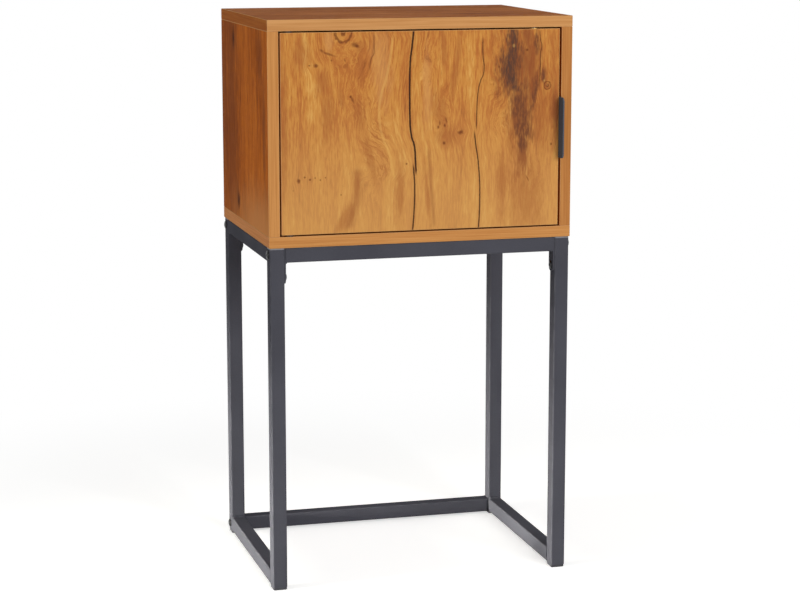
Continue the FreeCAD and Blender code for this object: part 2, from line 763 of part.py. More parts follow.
for side, x in (("left", f"-{LEG_OUT}"), ("right", LEG_IN)):
    for level, z in (("upper", RAIL_LOW), ("lower", "foot_tall")):
        rail = tube(f"{side}_{level}_rail", "Y", "depth - 2 * frame_inset - 2 * tube")
        place(rail, x, f"{LEG_FRONT} + tube", z)
        node(rail)

CROSS_LONG = f"(2 * {LEG_IN} - 2 * plate)"


def cross_rail(label, y, z, holds_cabinet):
    """A rail between two legs; a cabinet bolt's head goes in through the rail's lower wall."""
    body = tube(label, "X", CROSS_LONG)
    if holds_cabinet:
        spots = [
            (f"{CROSS_LONG} / 2 - {CABINET_BOLT_X}", "tube / 2"),
            (f"{CROSS_LONG} / 2 + {CABINET_BOLT_X}", "tube / 2"),
        ]
        holes = sketch(body, "XY_Plane", "cabinet_bolt_holes", "tube")
        circles(holes, "bolt_radius + hole_play", spots)
        pocket(body, holes, "tube_wall")
        access = sketch(body, "XY_Plane", "access_holes", "tube_wall")
        circles(access, "bolt_head_radius + access_play", spots)
        pocket(body, access, "tube_wall")
    place(body, f"plate - {LEG_IN}", y, z)
    return node(body)


cross_rail("front_upper_rail", LEG_FRONT, RAIL_LOW, True)
cross_rail("rear_upper_rail", LEG_REAR, RAIL_LOW, True)
cross_rail("rear_lower_rail", LEG_REAR, "foot_tall", False)

# End plates of the cross rails

tab_tall = "(tab_drop + tab_end)"
tab_plate = block("tab_plate", "plate", "plate_wide", tab_tall)
soften(
    tab_plate,
    "tab_round",
    lambda edge: runs_along(edge, X_WAY) and edge.BoundBox.ZMax < SIZES["tube"],
    "tab_end",
)
plate_bolt_hole = sketch(tab_plate, "YZ_Plane", "bolt_hole", "plate")
circles(plate_bolt_hole, "bolt_radius + hole_play", [("plate_wide / 2", f"{tab_tall} - tube / 2")])
pocket(tab_plate, plate_bolt_hole, "plate")
plate_screw_hole = sketch(tab_plate, "YZ_Plane", "screw_hole", "plate")
circles(plate_screw_hole, "tab_screw_radius + hole_play", [("plate_wide / 2", "tab_end")])
pocket(tab_plate, plate_screw_hole, "plate")

short_plate = block("short_plate", "plate", "plate_wide", "tube")
short_bolt_hole = sketch(short_plate, "YZ_Plane", "bolt_hole", "plate")
circles(short_bolt_hole, "bolt_radius + hole_play", [("plate_wide / 2", "tube / 2")])
pocket(short_plate, short_bolt_hole, "plate")

plate_ends = [f"-{LEG_IN}", f"{LEG_IN} - plate"]
plate_side = "(tube - plate_wide) / 2"
tab_low = f"frame_height - {tab_tall}"
copies("upper_rail_end_plates", [
    (tab_plate, x, f"{y} + {plate_side}", tab_low, UPRIGHT)
    for x in plate_ends
    for y in (LEG_FRONT, LEG_REAR)
])
copies("lower_rail_end_plates", [
    (short_plate, x, f"{LEG_REAR} + {plate_side}", "foot_tall", UPRIGHT) for x in plate_ends
])

# Frame fasteners

weld_nut = new_body("weld_nut")
hexagon = weld_nut.newObject("PartDesign::AdditivePrism", "weld_nut_hexagon")
hexagon.Polygon = 6
hexagon.AttachmentSupport = [(origin_plane(weld_nut, "XY_Plane"), "")]
hexagon.MapMode = "FlatFace"
bind(hexagon, "Circumradius", "nut_radius")
bind(hexagon, "Height", "nut_thick")
nut_bore = sketch(weld_nut, "XY_Plane", "bore", "nut_thick")
circles(nut_bore, "bolt_radius + hole_play", [("0", "0")])
pocket(weld_nut, nut_bore, "nut_thick")

frame_bolt_long = "(tube + plate + nut_thick + bolt_past_nut)"
frame_bolt = round_head("frame_bolt", "bolt_radius", frame_bolt_long, "bolt_head_radius", "bolt_head_tall")
bolt_points = [(LEG_FRONT, BOLT_HIGH), (LEG_REAR, BOLT_HIGH), (LEG_REAR, BOLT_LOW)]
nut_spots = []
frame_bolt_spots = []
for y, z in bolt_points:
    middle = f"{y} + tube / 2"
    nut_spots.append((weld_nut, f"plate - {LEG_IN}", middle, z, TO_RIGHT))
    nut_spots.append((weld_nut, f"{LEG_IN} - plate", middle, z, TO_LEFT))
    frame_bolt_spots.append((frame_bolt, f"{frame_bolt_long} - {LEG_OUT}", middle, z, TO_LEFT))
    frame_bolt_spots.append((frame_bolt, f"{LEG_OUT} - {frame_bolt_long}", middle, z, TO_RIGHT))
copies("weld_nuts", nut_spots)
copies("frame_bolts", frame_bolt_spots)

tab_screw_long = "(plate + tube_wall + tab_screw_past_wall)"
tab_screw = round_head("tab_screw", "tab_screw_radius", tab_screw_long, "tab_head_radius", "tab_head_tall")
tab_screw_spots = []
tab_tip = f"({LEG_IN} - plate + {tab_screw_long})"
for y in (LEG_FRONT, LEG_REAR):
    middle = f"{y} + tube / 2"
    tab_screw_spots.append((tab_screw, f"-{tab_tip}", middle, TAB_SCREW_Z, TO_RIGHT))
    tab_screw_spots.append((tab_screw, tab_tip, middle, TAB_SCREW_Z, TO_LEFT))
copies("tab_screws", tab_screw_spots)

cabinet_bolt_long = f"(tube_wall + {INSERT_LONG})"
cabinet_bolt = round_head(
    "cabinet_bolt", "bolt_radius", cabinet_bolt_long, "bolt_head_radius", "bolt_head_tall"
)
threaded_insert = lathe("threaded_insert", [
    ("bolt_radius + hole_play", "0"),
    ("insert_radius", "0"),
    ("insert_radius", INSERT_LONG),
    ("bolt_radius + hole_play", INSERT_LONG),
])
cabinet_bolt_spots = [
    (x, f"{y} + tube / 2")
    for x in (f"-{CABINET_BOLT_X}", CABINET_BOLT_X)
    for y in (LEG_FRONT, LEG_REAR)
]
copies("cabinet_bolts", [
    (cabinet_bolt, x, y, f"frame_height + {INSERT_LONG}", TO_FLOOR) for x, y in cabinet_bolt_spots
])
copies("threaded_inserts", [
    (threaded_insert, x, y, "frame_height", UPRIGHT) for x, y in cabinet_bolt_spots
])

# Plastic caps in the ends of the legs


def end_cap(label, tall, inset, plug_long):
    """A square cap on a plug that fills the tube's mouth; the plug points up."""
    body = new_body(label)
    flange = sketch(body, "XY_Plane", "flange")
    rectangle(flange, inset, inset, f"tube - {inset}", f"tube - {inset}")
    pad(body, flange, tall)
    soften(body, f"tube_round - {inset} / 2", lambda edge: runs_along(edge, UP), "corners")
    doc.recompute()
    flange_top = body.Shape.BoundBox.ZMax
    bevel(body, f"{tall} / 4", lambda edge: edge.BoundBox.ZMax < NEAR, "outer_edge")
    plug = sketch(body, "XY_Plane", "plug", tall)
    near = "(tube_wall + cap_play)"
    rectangle(plug, near, near, f"tube - {near}", f"tube - {near}")
    pad(body, plug, plug_long)
    soften(
        body,
        "tube_round - tube_wall",
        lambda edge: runs_along(edge, UP) and edge.BoundBox.ZMin > flange_top - NEAR,
        "plug_corners",
    )
    return body


foot_cap = end_cap("foot_cap", "foot_tall", "foot_inset", "tube / 2 - bolt_radius - plug_clear")
top_cap = end_cap("top_cap", "cap_tall", "foot_inset / 5", "tube / 2 - cap_tall - bolt_radius - plug_clear")
leg_corners = [(x, y) for x in (f"-{LEG_OUT}", LEG_IN) for y in (LEG_FRONT, LEG_REAR)]
copies("foot_caps", [(foot_cap, x, y, "0", UPRIGHT) for x, y in leg_corners])
copies("leg_top_caps", [(top_cap, x, f"{y} + tube", "frame_height", TO_FLOOR) for x, y in leg_corners])

# Checks, then one file for each node

doc.recompute()
for item in doc.Objects:
    if "Invalid" in item.State or "Error" in item.State:
        raise RuntimeError(f"{item.Name} failed: {item.State}")
    if item.TypeId == "PartDesign::Pocket":
        if item.Shape.Volume > item.BaseFeature.Shape.Volume - 0.001:
            raise RuntimeError(f"{item.Name} cuts nothing")
for item in nodes:
    if item.Shape.isNull() or not item.Shape.isValid():
        raise RuntimeError(f"{item.Label} has no valid shape")

os.makedirs("parts", exist_ok=True)
for item in nodes:
    item.Shape.exportStep(f"parts/{item.Label}.step")
    print(f"{item.Label}: {len(item.Shape.Solids)} solids, {item.Shape.Volume / 1000:.2f} cm3")
whole = Part.makeCompound([item.Shape for item in nodes])
print(len(nodes), "nodes", whole.BoundBox)
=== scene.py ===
# %% [markdown]
# A console table with a cabinet: a wood-faced box with one door, on a frame of square steel tube.
# The CAD part brings the solids, each in its place. Blender gives every solid a material, adds the
# weld beads and the spring's coil, which the CAD leaves out, and sets up floor, light and camera.
# Lengths are in metres in the part's own frame: +X is right, +Y is back, +Z is up, the floor is at 0.

# %% Load the CAD part
import math
from functools import partialmethod
from typing import NamedTuple

import bmesh
import bpy
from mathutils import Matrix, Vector


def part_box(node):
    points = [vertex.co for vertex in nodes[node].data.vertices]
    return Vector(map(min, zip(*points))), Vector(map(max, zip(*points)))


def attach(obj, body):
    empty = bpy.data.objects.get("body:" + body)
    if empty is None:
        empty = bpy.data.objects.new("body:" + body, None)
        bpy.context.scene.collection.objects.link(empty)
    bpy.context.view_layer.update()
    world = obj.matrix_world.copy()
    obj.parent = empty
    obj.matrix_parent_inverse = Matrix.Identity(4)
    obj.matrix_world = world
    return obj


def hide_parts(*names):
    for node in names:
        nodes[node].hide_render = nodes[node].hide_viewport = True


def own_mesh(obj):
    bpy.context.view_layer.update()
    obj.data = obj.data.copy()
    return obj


MM = 0.001
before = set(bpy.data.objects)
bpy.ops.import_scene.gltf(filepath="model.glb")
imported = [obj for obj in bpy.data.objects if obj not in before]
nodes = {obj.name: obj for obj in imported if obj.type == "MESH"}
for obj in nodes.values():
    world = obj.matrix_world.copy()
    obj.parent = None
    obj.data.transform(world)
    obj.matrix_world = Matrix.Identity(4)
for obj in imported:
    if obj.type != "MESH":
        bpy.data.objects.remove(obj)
scene = bpy.context.scene
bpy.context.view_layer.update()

# %% [markdown]
# The camera stands a little to the left of the door and above the table top, far off with a long
# lens. Its place and lens were fitted to the corners of the cabinet and the ends of the legs, with
# the lens left unshifted, so that the same camera also frames the part from any other side.

# %% Camera
CAMERA_PLACE_MM = (-816.4, -2985.6, 929.0)
CAMERA_YAW = 0.2699  # radians towards +X
CAMERA_PITCH = 0.1800  # radians downwards
FOCAL_PIXELS = 2224.8  # focal length, in pixels of the image
IMAGE_WIDE = 800

camera_data = bpy.data.cameras.new("front_left_camera")
camera_data.lens = FOCAL_PIXELS * camera_data.sensor_width / IMAGE_WIDE
camera = bpy.data.objects.new("front_left_camera", camera_data)
camera.location = Vector(CAMERA_PLACE_MM) * MM
camera.rotation_euler = (math.pi / 2 - CAMERA_PITCH, 0, -CAMERA_YAW)
scene.collection.objects.link(camera)
scene.camera = camera
print("lens:", round(camera_data.lens, 1), "mm")

# %% [markdown]
# Light decides how honest the colours are. One large soft box stands in front, a little to the
# right, so that the pull throws its short shadow to the left. A weaker one fills in from the left,
# and the world adds the rest. Together they come to about one on the door, where a colour renders as
# it is written. A low strip with a narrow beam does what a bright studio floor does: it pales the
# frame's left faces towards the feet. Standard is the view transform that leaves colours alone.

# %% Lamps
PART_MIDDLE = Vector((0, 0, 0.5))
LOWER_RAILS = Vector((0, 0, 0.05))
FULL_SPREAD = math.pi
STRIP_SPREAD = math.radians(15)
WARM_WHITE = (1.0, 0.98, 0.86)


def soft_box(name, place, wide, tall, watts, aim=PART_MIDDLE, spread=FULL_SPREAD):
    """A rectangular lamp that faces the part."""
    data = bpy.data.lights.new(name, "AREA")
    data.shape = "RECTANGLE"
    data.size = wide
    data.size_y = tall
    data.energy = watts
    data.spread = spread
    lamp = bpy.data.objects.new(name, data)
    lamp.location = place
    lamp.rotation_euler = (aim - lamp.location).to_track_quat("-Z", "Y").to_euler()
    lamp.visible_camera = False
    scene.collection.objects.link(lamp)
    return lamp


key_lamp = soft_box("key_soft_box", (1.1, -3.4, 1.7), wide=1.6, tall=1.6, watts=74)
fill_lamp = soft_box("fill_soft_box", (-3.0, -1.6, 1.1), wide=2.0, tall=2.0, watts=14)
low_lamp = soft_box("low_strip", (-2.6, -0.24, 0.18), wide=0.6, tall=0.16, watts=2.4,
                    aim=LOWER_RAILS, spread=STRIP_SPREAD)
low_lamp.data.color = WARM_WHITE
scene.view_settings.view_transform = "Standard"
print("lamps:", [lamp.data.energy for lamp in (key_lamp, fill_lamp, low_lamp)], "W")

# %% [markdown]
# A material or a light is a net of nodes, and writing one in Python soon fills with links. This
# small class keeps that readable: each method adds a node, feeds its inputs with numbers or with
# other nodes, and hands back what comes out.

# %% A helper for nodes
class Wiring:
    """Adds nodes to one material, world or group, and links them as it goes."""

    def __init__(self, tree):
        self.tree = tree

    def feed(self, socket, value):
        """Links a socket or a node's first output, or sets a plain value."""
        if isinstance(value, bpy.types.Node):
            value = value.outputs[0]
        if isinstance(value, bpy.types.NodeSocket):
            self.tree.links.new(value, socket)
        else:
            socket.default_value = value

    def add(self, kind, inputs=None, **settings):
        """A node of any kind, with its settings, and its inputs by name or number."""
        node = self.tree.nodes.new("ShaderNode" + kind)
        for name, value in settings.items():
            setattr(node, name, value)
        for name, value in (inputs or {}).items():
            self.feed(node.inputs[name], value)
        return node

    def calc(self, operation, *values):
        """A Math node of any kind; the common ones have short names."""
        return self.add("Math", dict(enumerate(values)), operation=operation).outputs[0]

    plus = partialmethod(calc, "ADD")
    minus = partialmethod(calc, "SUBTRACT")
    times = partialmethod(calc, "MULTIPLY")
    times_plus = partialmethod(calc, "MULTIPLY_ADD")
    over = partialmethod(calc, "DIVIDE")
    larger = partialmethod(calc, "MAXIMUM")

    def fade(self, value, start, end):
        """0 at start and 1 at end, with a smooth step between; start may be the larger."""
        inputs = {"Value": value, "From Min": start, "From Max": end}
        return self.add("MapRange", inputs, interpolation_type="SMOOTHSTEP").outputs[0]

    def point(self, x, y, z):
        """A place from its three parts."""
        return self.add("CombineXYZ", {"X": x, "Y": y, "Z": z}).outputs[0]

    def stretched(self, place, x, y, z):
        """A place with its three parts multiplied."""
        return self.add("VectorMath", {0: place, 1: (x, y, z)}, operation="MULTIPLY").outputs[0]

    def noise(self, place, detail=2.0, scale=1.0):
        """Cloudy noise about one unit across, from 0 to 1 with its middle at a half."""
        return self.add("TexNoise", {"Vector": place, "Detail": detail, "Scale": scale}).outputs[0]

    def streaks(self, board, across, along, detail=2.0):
        """Noise drawn out along the grain: waves per metre across it and along it."""
        place = self.point(board["Across"], board["Along"], board["Through"])
        return self.noise(self.stretched(place, across, along, along), detail)

    def waver(self, board, across, along, detail=2.0):
        """Streaks with their middle at zero, to push a place or a rim to and fro."""
        return self.minus(self.streaks(board, across, along, detail), 0.5)

    def mix(self, amount, first, second, blend_type="MIX"):
        """The first colour, turned into the second by the amount."""
        node = self.add("Mix", data_type="RGBA", blend_type=blend_type)
        sockets = {socket.identifier: socket for socket in node.inputs}
        self.feed(sockets["Factor_Float"], amount)
        self.feed(sockets["A_Color"], first)
        self.feed(sockets["B_Color"], second)
        return next(s for s in node.outputs if s.identifier == "Result_Color")

    def use(self, group, inputs):
        """A node group with its inputs fed; the outputs are found by name."""
        return self.add("Group", inputs, node_tree=group).outputs

    def bump(self, height, strength, distance):
        """Normals that follow a height."""
        inputs = {"Height": height, "Strength": strength, "Distance": distance}
        return self.add("Bump", inputs).outputs[0]

    def shade(self, **inputs):
        """Ends a material with a Principled shader; inputs are its sockets, with _ for spaces."""
        named = {name.replace("_", " "): value for name, value in inputs.items()}
        self.add("OutputMaterial", {"Surface": self.add("BsdfPrincipled", named)})


print("Wiring has", len([name for name in vars(Wiring) if not name.startswith("_")]), "methods")

# %% [markdown]
# Every material starts out empty and is kept under its name, so that a later cell can put it on a
# CAD node or a new mesh. Colours are written as in an image editor. A shader works with amounts
# of light instead, which is why each colour has to be converted first.

# %% Materials and colours
materials = {}


def new_material(name):
    """Starts an empty material; gives its wiring and its coordinates."""
    material = bpy.data.materials.new(name)
    material.use_nodes = True
    material.node_tree.nodes.clear()
    materials[name] = material
    wiring = Wiring(material.node_tree)
    return wiring, wiring.add("TexCoord").outputs


def paint(red, green, blue):
    """A colour for a shader, from the 0 to 255 levels of an image editor."""
    shares = [level / 255 for level in (red, green, blue)]
    linear = [s / 12.92 if s <= 0.04045 else ((s + 0.055) / 1.055) ** 2.4 for s in shares]
    return (*linear, 1.0)


print("middle grey is", round(paint(128, 128, 128)[0], 3), "in a shader")

# %% [markdown]
# The part stands in a white studio. Lighting a wall until it is white would wash out the part as
# well. So the world shows white only to the camera and to reflections, which the Light Path node
# can tell apart from the rays that carry light, and it lights the part with less than it shows.

# %% World
WORLD_LIGHT = 0.34


def seen_directly(wiring):
    """1 for rays that show the background: from the camera, or by way of gloss or glass."""
    path = wiring.add("LightPath").outputs
    glossy = wiring.plus(path["Is Camera Ray"], path["Is Glossy Ray"])
    return wiring.calc("MINIMUM", wiring.plus(glossy, path["Is Transmission Ray"]), 1.0)


world = bpy.data.worlds.new("white_studio")
world.use_nodes = True
world.node_tree.nodes.clear()
w = Wiring(world.node_tree)
strength = w.times_plus(seen_directly(w), 1.0 - WORLD_LIGHT, WORLD_LIGHT)
background = w.add("Background", {"Color": (1, 1, 1, 1), "Strength": strength})
w.add("OutputWorld", {"Surface": background})
scene.world = world
print("world: shows 1, lights with", WORLD_LIGHT)

# %% [markdown]
# The floor has to be white as well, and yet take a shadow. A plain white surface would turn grey
# wherever less light falls on it. So near the feet the floor is a real surface with a glow of its own,
# which takes the part's soft shadow, and farther out it turns into plain white. From below it is
# see-through, so that the underside can be looked at too.

# %% Floor
FLOOR_GLOW = 0.58
FLOOR_GREY = paint(232, 232, 230)
FLOOR_HALF = 15.0
SHADOW_REACH = 0.42  # metres from the middle, where the floor starts to turn white
WHITE_REACH = 1.10

floor_mesh = bpy.data.meshes.new("studio_floor")
floor_corners = [(-FLOOR_HALF, -FLOOR_HALF), (FLOOR_HALF, -FLOOR_HALF),
                 (FLOOR_HALF, FLOOR_HALF), (-FLOOR_HALF, FLOOR_HALF)]
floor_mesh.from_pydata([(x, y, 0) for x, y in floor_corners], [], [range(len(floor_corners))])
floor = bpy.data.objects.new("studio_floor", floor_mesh)
scene.collection.objects.link(floor)

w, coordinates = new_material("floor_paint")
direct = seen_directly(w)
glow = w.add("Emission", {"Strength": w.times(direct, FLOOR_GLOW)})
near_floor = w.add("AddShader", {0: w.add("BsdfDiffuse", {"Color": FLOOR_GREY}), 1: glow})
far_floor = w.add("Emission", {"Strength": 1.0})
from_middle = w.add("VectorMath", {0: coordinates["Object"]}, operation="LENGTH").outputs["Value"]
whiteness = w.times(w.fade(from_middle, SHADOW_REACH, WHITE_REACH), direct)
above = w.add("MixShader", {0: whiteness, 1: near_floor, 2: far_floor})
from_below = w.add("NewGeometry").outputs["Backfacing"]
both = w.add("MixShader", {0: from_below, 1: above, 2: w.add("BsdfTransparent")})
w.add("OutputMaterial", {"Surface": both})
floor_mesh.materials.append(materials["floor_paint"])
print("floor:", 2 * FLOOR_HALF, "m square, white from", WHITE_REACH, "m out")

# %% [markdown]
# Whatever is needed more than once could be wired anew each time. It is built as a node group
# instead, with named inputs and outputs, so that one change reaches every place that uses it. A
# group is wired like a material, but it is opened with its sockets and closed with its results.

# %% A helper for groups
NUMBER = "NodeSocketFloat"
COLOUR = "NodeSocketColor"
VECTOR = "NodeSocketVector"


def numbers(*names):
    """Number sockets with these names."""
    return dict.fromkeys(names, NUMBER)


class Group(Wiring):
    """A node group while it is being made; given holds its inputs."""

    def __init__(self, name, inputs, outputs):
        super().__init__(bpy.data.node_groups.new(name, "ShaderNodeTree"))
        for in_out, sockets in (("INPUT", inputs), ("OUTPUT", outputs)):
            for socket_name, kind in sockets.items():
                self.tree.interface.new_socket(name=socket_name, in_out=in_out, socket_type=kind)
        self.given = self.tree.nodes.new("NodeGroupInput").outputs

    def close(self, **outputs):
        """Feeds the outputs, and gives the finished group."""
        result = self.tree.nodes.new("NodeGroupOutput").inputs
        for name, value in outputs.items():
            self.feed(result[name], value)
        print("group:", self.tree.name, len(self.tree.nodes), "nodes")
        return self.tree


BOARD_PLACE = numbers("Across", "Along", "Through")
print("a place on a board:", list(BOARD_PLACE))

# %% [markdown]
# The boards are chipboard with a printed wood face. Wood grain is streaks at several widths at
# once, from hand-wide clouds of colour down to hair-fine fibres, with short dark pores between. A
# picture of wood could be laid on, but it would blur up close, and every mesh would have to be
# unwrapped for it. Noise drawn out along the grain stays sharp and needs no unwrapping, so one group
# makes all the widths from it. The group takes the place on the board as three numbers, across the
# grain, along it and through the board, so that any board can turn the grain its own way.

# %% Wood grain group
PORE_SHADE = 0.34
GRAIN_PALETTE = dict.fromkeys(("Pale", "Honey", "Brown", "Dark"), COLOUR)

w = Group("wood_grain", {**BOARD_PLACE, **numbers("Sway"), **GRAIN_PALETTE},
          {"Colour": COLOUR, **numbers("Tone", "Relief")})
given = w.given
slow_wave = w.waver(given, across=11, along=5, detail=1)
swayed = w.times_plus(slow_wave, given["Sway"], given["Across"])
line = {"Across": swayed, "Along": given["Along"], "Through": given["Through"]}
clouds = w.fade(w.streaks(line, across=17, along=6), 0.30, 0.70)
bands = w.fade(w.streaks(line, across=64, along=5), 0.28, 0.72)
streaks = w.fade(w.streaks(line, across=190, along=13, detail=3), 0.25, 0.75)
threads = w.fade(w.streaks(line, across=520, along=64, detail=3), 0.27, 0.73)
fibres = w.fade(w.streaks(line, across=1100, along=60), 0.2, 0.8)
pores = w.fade(w.streaks(line, across=760, along=110), 0.58, 0.74)
tone = 0.0
for layer, share in ((clouds, 0.22), (bands, 0.16), (streaks, 0.19), (threads, 0.28), (fibres, 0.15)):
    tone = w.times_plus(layer, share, tone)
colour = w.mix(w.fade(tone, 0.12, 0.36), given["Dark"], given["Brown"])
colour = w.mix(w.fade(tone, 0.34, 0.60), colour, given["Honey"])
colour = w.mix(w.fade(tone, 0.58, 0.86), colour, given["Pale"])
colour = w.mix(w.times(pores, PORE_SHADE), colour, given["Dark"])
wood_grain = w.close(Colour=colour, Tone=tone, Relief=w.minus(fibres, pores))

# %% [markdown]
# What makes this wood look old is what interrupts the grain: stains, knots and cracks. A stain could
# be painted on the mesh by hand, but it would be no finer than the mesh, and hard to move. As a mask
# it takes a few numbers: a soft oval, which may lean, with a rim that is broken up by noise. The same
# oval also marks where the grain curls.

# %% Stain group
OVAL = numbers("Centre Across", "Centre Along", "Half Wide", "Half Tall")

w = Group("soft_stain", {**BOARD_PLACE, **OVAL, **numbers("Lean", "Ragged")}, numbers("Mask"))
given = w.given
rise = w.minus(given["Along"], given["Centre Along"])
offset = w.minus(given["Across"], given["Centre Across"])
offset = w.minus(offset, w.times(rise, given["Lean"]))
offset = w.over(offset, given["Half Wide"])
rise = w.over(rise, given["Half Tall"])
distance = w.calc("SQRT", w.times_plus(offset, offset, w.times(rise, rise)))
coarse = w.waver(given, across=120, along=30, detail=3)
fine = w.waver(given, across=520, along=110, detail=3)
rim_noise = w.times_plus(fine, 0.6, coarse)
distance = w.times_plus(rim_noise, given["Ragged"], distance)
soft_stain = w.close(Mask=w.fade(distance, 1.2, 0.2))

# %% [markdown]
# A knot is where a branch once grew. Small ones are a dark core with a ragged rim, and large ones
# show the branch's own rings. The grain flows round both, and a dark dot on straight grain would look
# stuck on. So the group gives three things: the core, the rings, and how far to push the grain aside.

# %% Knot group
RING_WAVES = 8.5  # rings over the knot's own half width, in radians
PUSH_FADE = -0.11  # how fast the push on the grain dies away
PUSH_SHARE = -0.72  # how far the grain is pushed, for each length from the middle

w = Group("knot", {**BOARD_PLACE, **OVAL}, numbers("Push", "Core", "Rings"))
given = w.given
offset = w.minus(given["Across"], given["Centre Across"])
rise = w.minus(given["Along"], given["Centre Along"])
wide_share = w.over(offset, given["Half Wide"])
tall_share = w.over(rise, given["Half Tall"])
square = w.times_plus(wide_share, wide_share, w.times(tall_share, tall_share))
distance = w.calc("SQRT", square)
rim_noise = w.waver(given, across=260, along=220, detail=3)
ragged = w.times_plus(rim_noise, 1.3, distance)
even = w.times_plus(rim_noise, 0.35, distance)
near = w.calc("POWER", math.e, w.times(square, PUSH_FADE))
rings = w.fade(w.calc("SINE", w.times(even, RING_WAVES)), 0.0, 1.0)
knot = w.close(Push=w.times(offset, w.times(near, PUSH_SHARE)), Core=w.fade(ragged, 1.1, 0.2),
               Rings=w.times(rings, w.fade(ragged, 1.5, 0.9)))

# %% [markdown]
# Between the knots lie a few specks, no larger than peppercorns. Nobody would place those one by
# one: a Voronoi texture divides the board into cells of random colours, and only the few cells with
# enough red get a dot in their middle.

# %% Speck group
CELLS_ACROSS = 46.0  # cells per metre
CELLS_ALONG = 38.0
DOT_REACH = 0.11  # of the largest dot, in cells

w = Group("specks", BOARD_PLACE, numbers("Mask"))
wobble = w.times(w.streaks(w.given, across=420, along=420), 0.12)
cell_across = w.times_plus(w.given["Across"], CELLS_ACROSS, wobble)
cell_along = w.times_plus(w.given["Along"], CELLS_ALONG, wobble)
cells = w.add("TexVoronoi", {"Vector": w.point(cell_across, cell_along, 0.0), "Scale": 1.0}).outputs
chance = w.add("SeparateColor", {"Color": cells["Color"]}).outputs["Red"]
dot_reach = w.times(w.fade(chance, 0.80, 1.0), DOT_REACH)
specks = w.close(Mask=w.fade(cells["Distance"], dot_reach, w.times(dot_reach, 0.3)))

# %% [markdown]
# A crack is a thin dark line on a winding path. It could be cut into the mesh, but on a printed board
# it is hardly deeper than a scratch, so a mask in the material is enough. The path is a Float Curve
# there, which turns a height on the board into a place across it. This group draws the line, with a
# rough edge and a brownish shade to both sides.

# %% Crack group
w = Group("crack_line", {**BOARD_PLACE, **numbers("Path", "Width")}, numbers("Line", "Shade"))
rough_edge = w.waver(w.given, across=300, along=300)
distance = w.minus(w.given["Across"], w.given["Path"])
distance = w.calc("ABSOLUTE", w.times_plus(rough_edge, 0.7 * MM, distance))
line_start = w.times(w.given["Width"], 0.68)
line_end = w.times(w.given["Width"], 0.30)
shade_start = w.times(w.given["Width"], 3.2)
crack_line = w.close(Line=w.fade(distance, line_start, line_end),
                     Shade=w.fade(distance, shade_start, line_end))

# %% [markdown]
# A board has four kinds of surface: the two printed faces, the edges with their glued-on band, the
# fine bevel between them, and raw chipboard wherever something was drilled or grooved. Faces could be
# picked by hand, but a new pack of the CAD part would undo that. All four can also be told apart by
# where a point lies in the board's own box, so one group does it for all the boards. It tells the
# ends of the grain from the long edges too, because the ends get colours of their own, which are
# painted shade and painted light. Two more groups make the straight-grained band and the chipboard
# crumbs.

# %% Board surface groups
ON_SURFACE = 0.05 * MM  # a point this deep still counts as lying on a surface,
UNDER_SURFACE = 0.25 * MM  # and one this deep no longer does

w = Group("board_zones", {**BOARD_PLACE, **numbers("Half Across", "Half Along", "Half Through")},
          numbers("Face", "Edge", "End", "Bevel"))
depths = {way: w.minus(w.given["Half " + way], w.calc("ABSOLUTE", w.given[way])) for way in BOARD_PLACE}
to_edge = w.calc("MINIMUM", depths["Across"], depths["Along"])
board_zones = w.close(
    Face=w.fade(depths["Through"], UNDER_SURFACE, ON_SURFACE),
    Edge=w.fade(to_edge, UNDER_SURFACE, ON_SURFACE),
    End=w.fade(depths["Along"], UNDER_SURFACE, ON_SURFACE),
    Bevel=w.fade(w.larger(to_edge, depths["Through"]), 0.75 * MM, 0.45 * MM))

w = Group("edge_band", {**BOARD_PLACE, "Light": COLOUR, "Deep": COLOUR}, {"Colour": COLOUR})
sideways = w.plus(w.given["Across"], w.given["Along"])
stripes = {"Across": w.given["Through"], "Along": sideways, "Through": sideways}
wide_stripes = w.streaks(stripes, across=330, along=4)
fine_stripes = w.streaks(stripes, across=1300, along=9)
stripe_tone = w.times_plus(fine_stripes, 0.5, w.times(wide_stripes, 0.5))
edge_band = w.close(Colour=w.mix(w.fade(stripe_tone, 0.34, 0.66), w.given["Deep"], w.given["Light"]))

w = Group("chipboard", {"Place": VECTOR}, {"Colour": COLOUR})
crumbs = w.add("TexVoronoi", {"Vector": w.given["Place"], "Scale": 700.0}).outputs["Color"]
crumb_tone = w.noise(w.given["Place"], detail=3, scale=1400.0)
crumb_mix = w.mix(crumb_tone, paint(150, 112, 72), paint(214, 182, 134))
chipboard = w.close(Colour=w.mix(0.18, crumb_mix, crumbs, "OVERLAY"))

# %% [markdown]
# The band on the edges is striped between two close colours. It isn't the same everywhere: some long
# edges are honey-coloured, some paler or browner, and among those the differences set one board off from
# the next. The ends are red, dark or pale, and these are painted shade and light: the red and dark ends
# stand for ends in shade, and the pale ends for ends that catch the light. So the pairs are named, and
# each board picks two.

# %% Edge band colours
class Band(NamedTuple):
    """The two colours between which an edge band is striped."""
    light: tuple
    deep: tuple


HONEY_BAND = Band(paint(208, 148, 87), paint(187, 124, 67))
PALE_BAND = Band(paint(209, 154, 98), paint(188, 130, 76))
BROWN_BAND = Band(paint(194, 133, 75), paint(174, 111, 58))
# painted shade and light: the end colours stand for how the ends look under the lamps, darker and redder
# in shade, paler in light
RED_END_PAINTED_SHADE = Band(paint(205, 124, 52), paint(182, 101, 38))
DARK_END_PAINTED_SHADE = Band(paint(183, 109, 48), paint(164, 88, 35))
PALE_END_PAINTED_LIGHT = Band(paint(222, 152, 97), paint(203, 134, 82))
print("honey band:", [tuple(round(part, 3) for part in colour[:3]) for colour in HONEY_BAND])
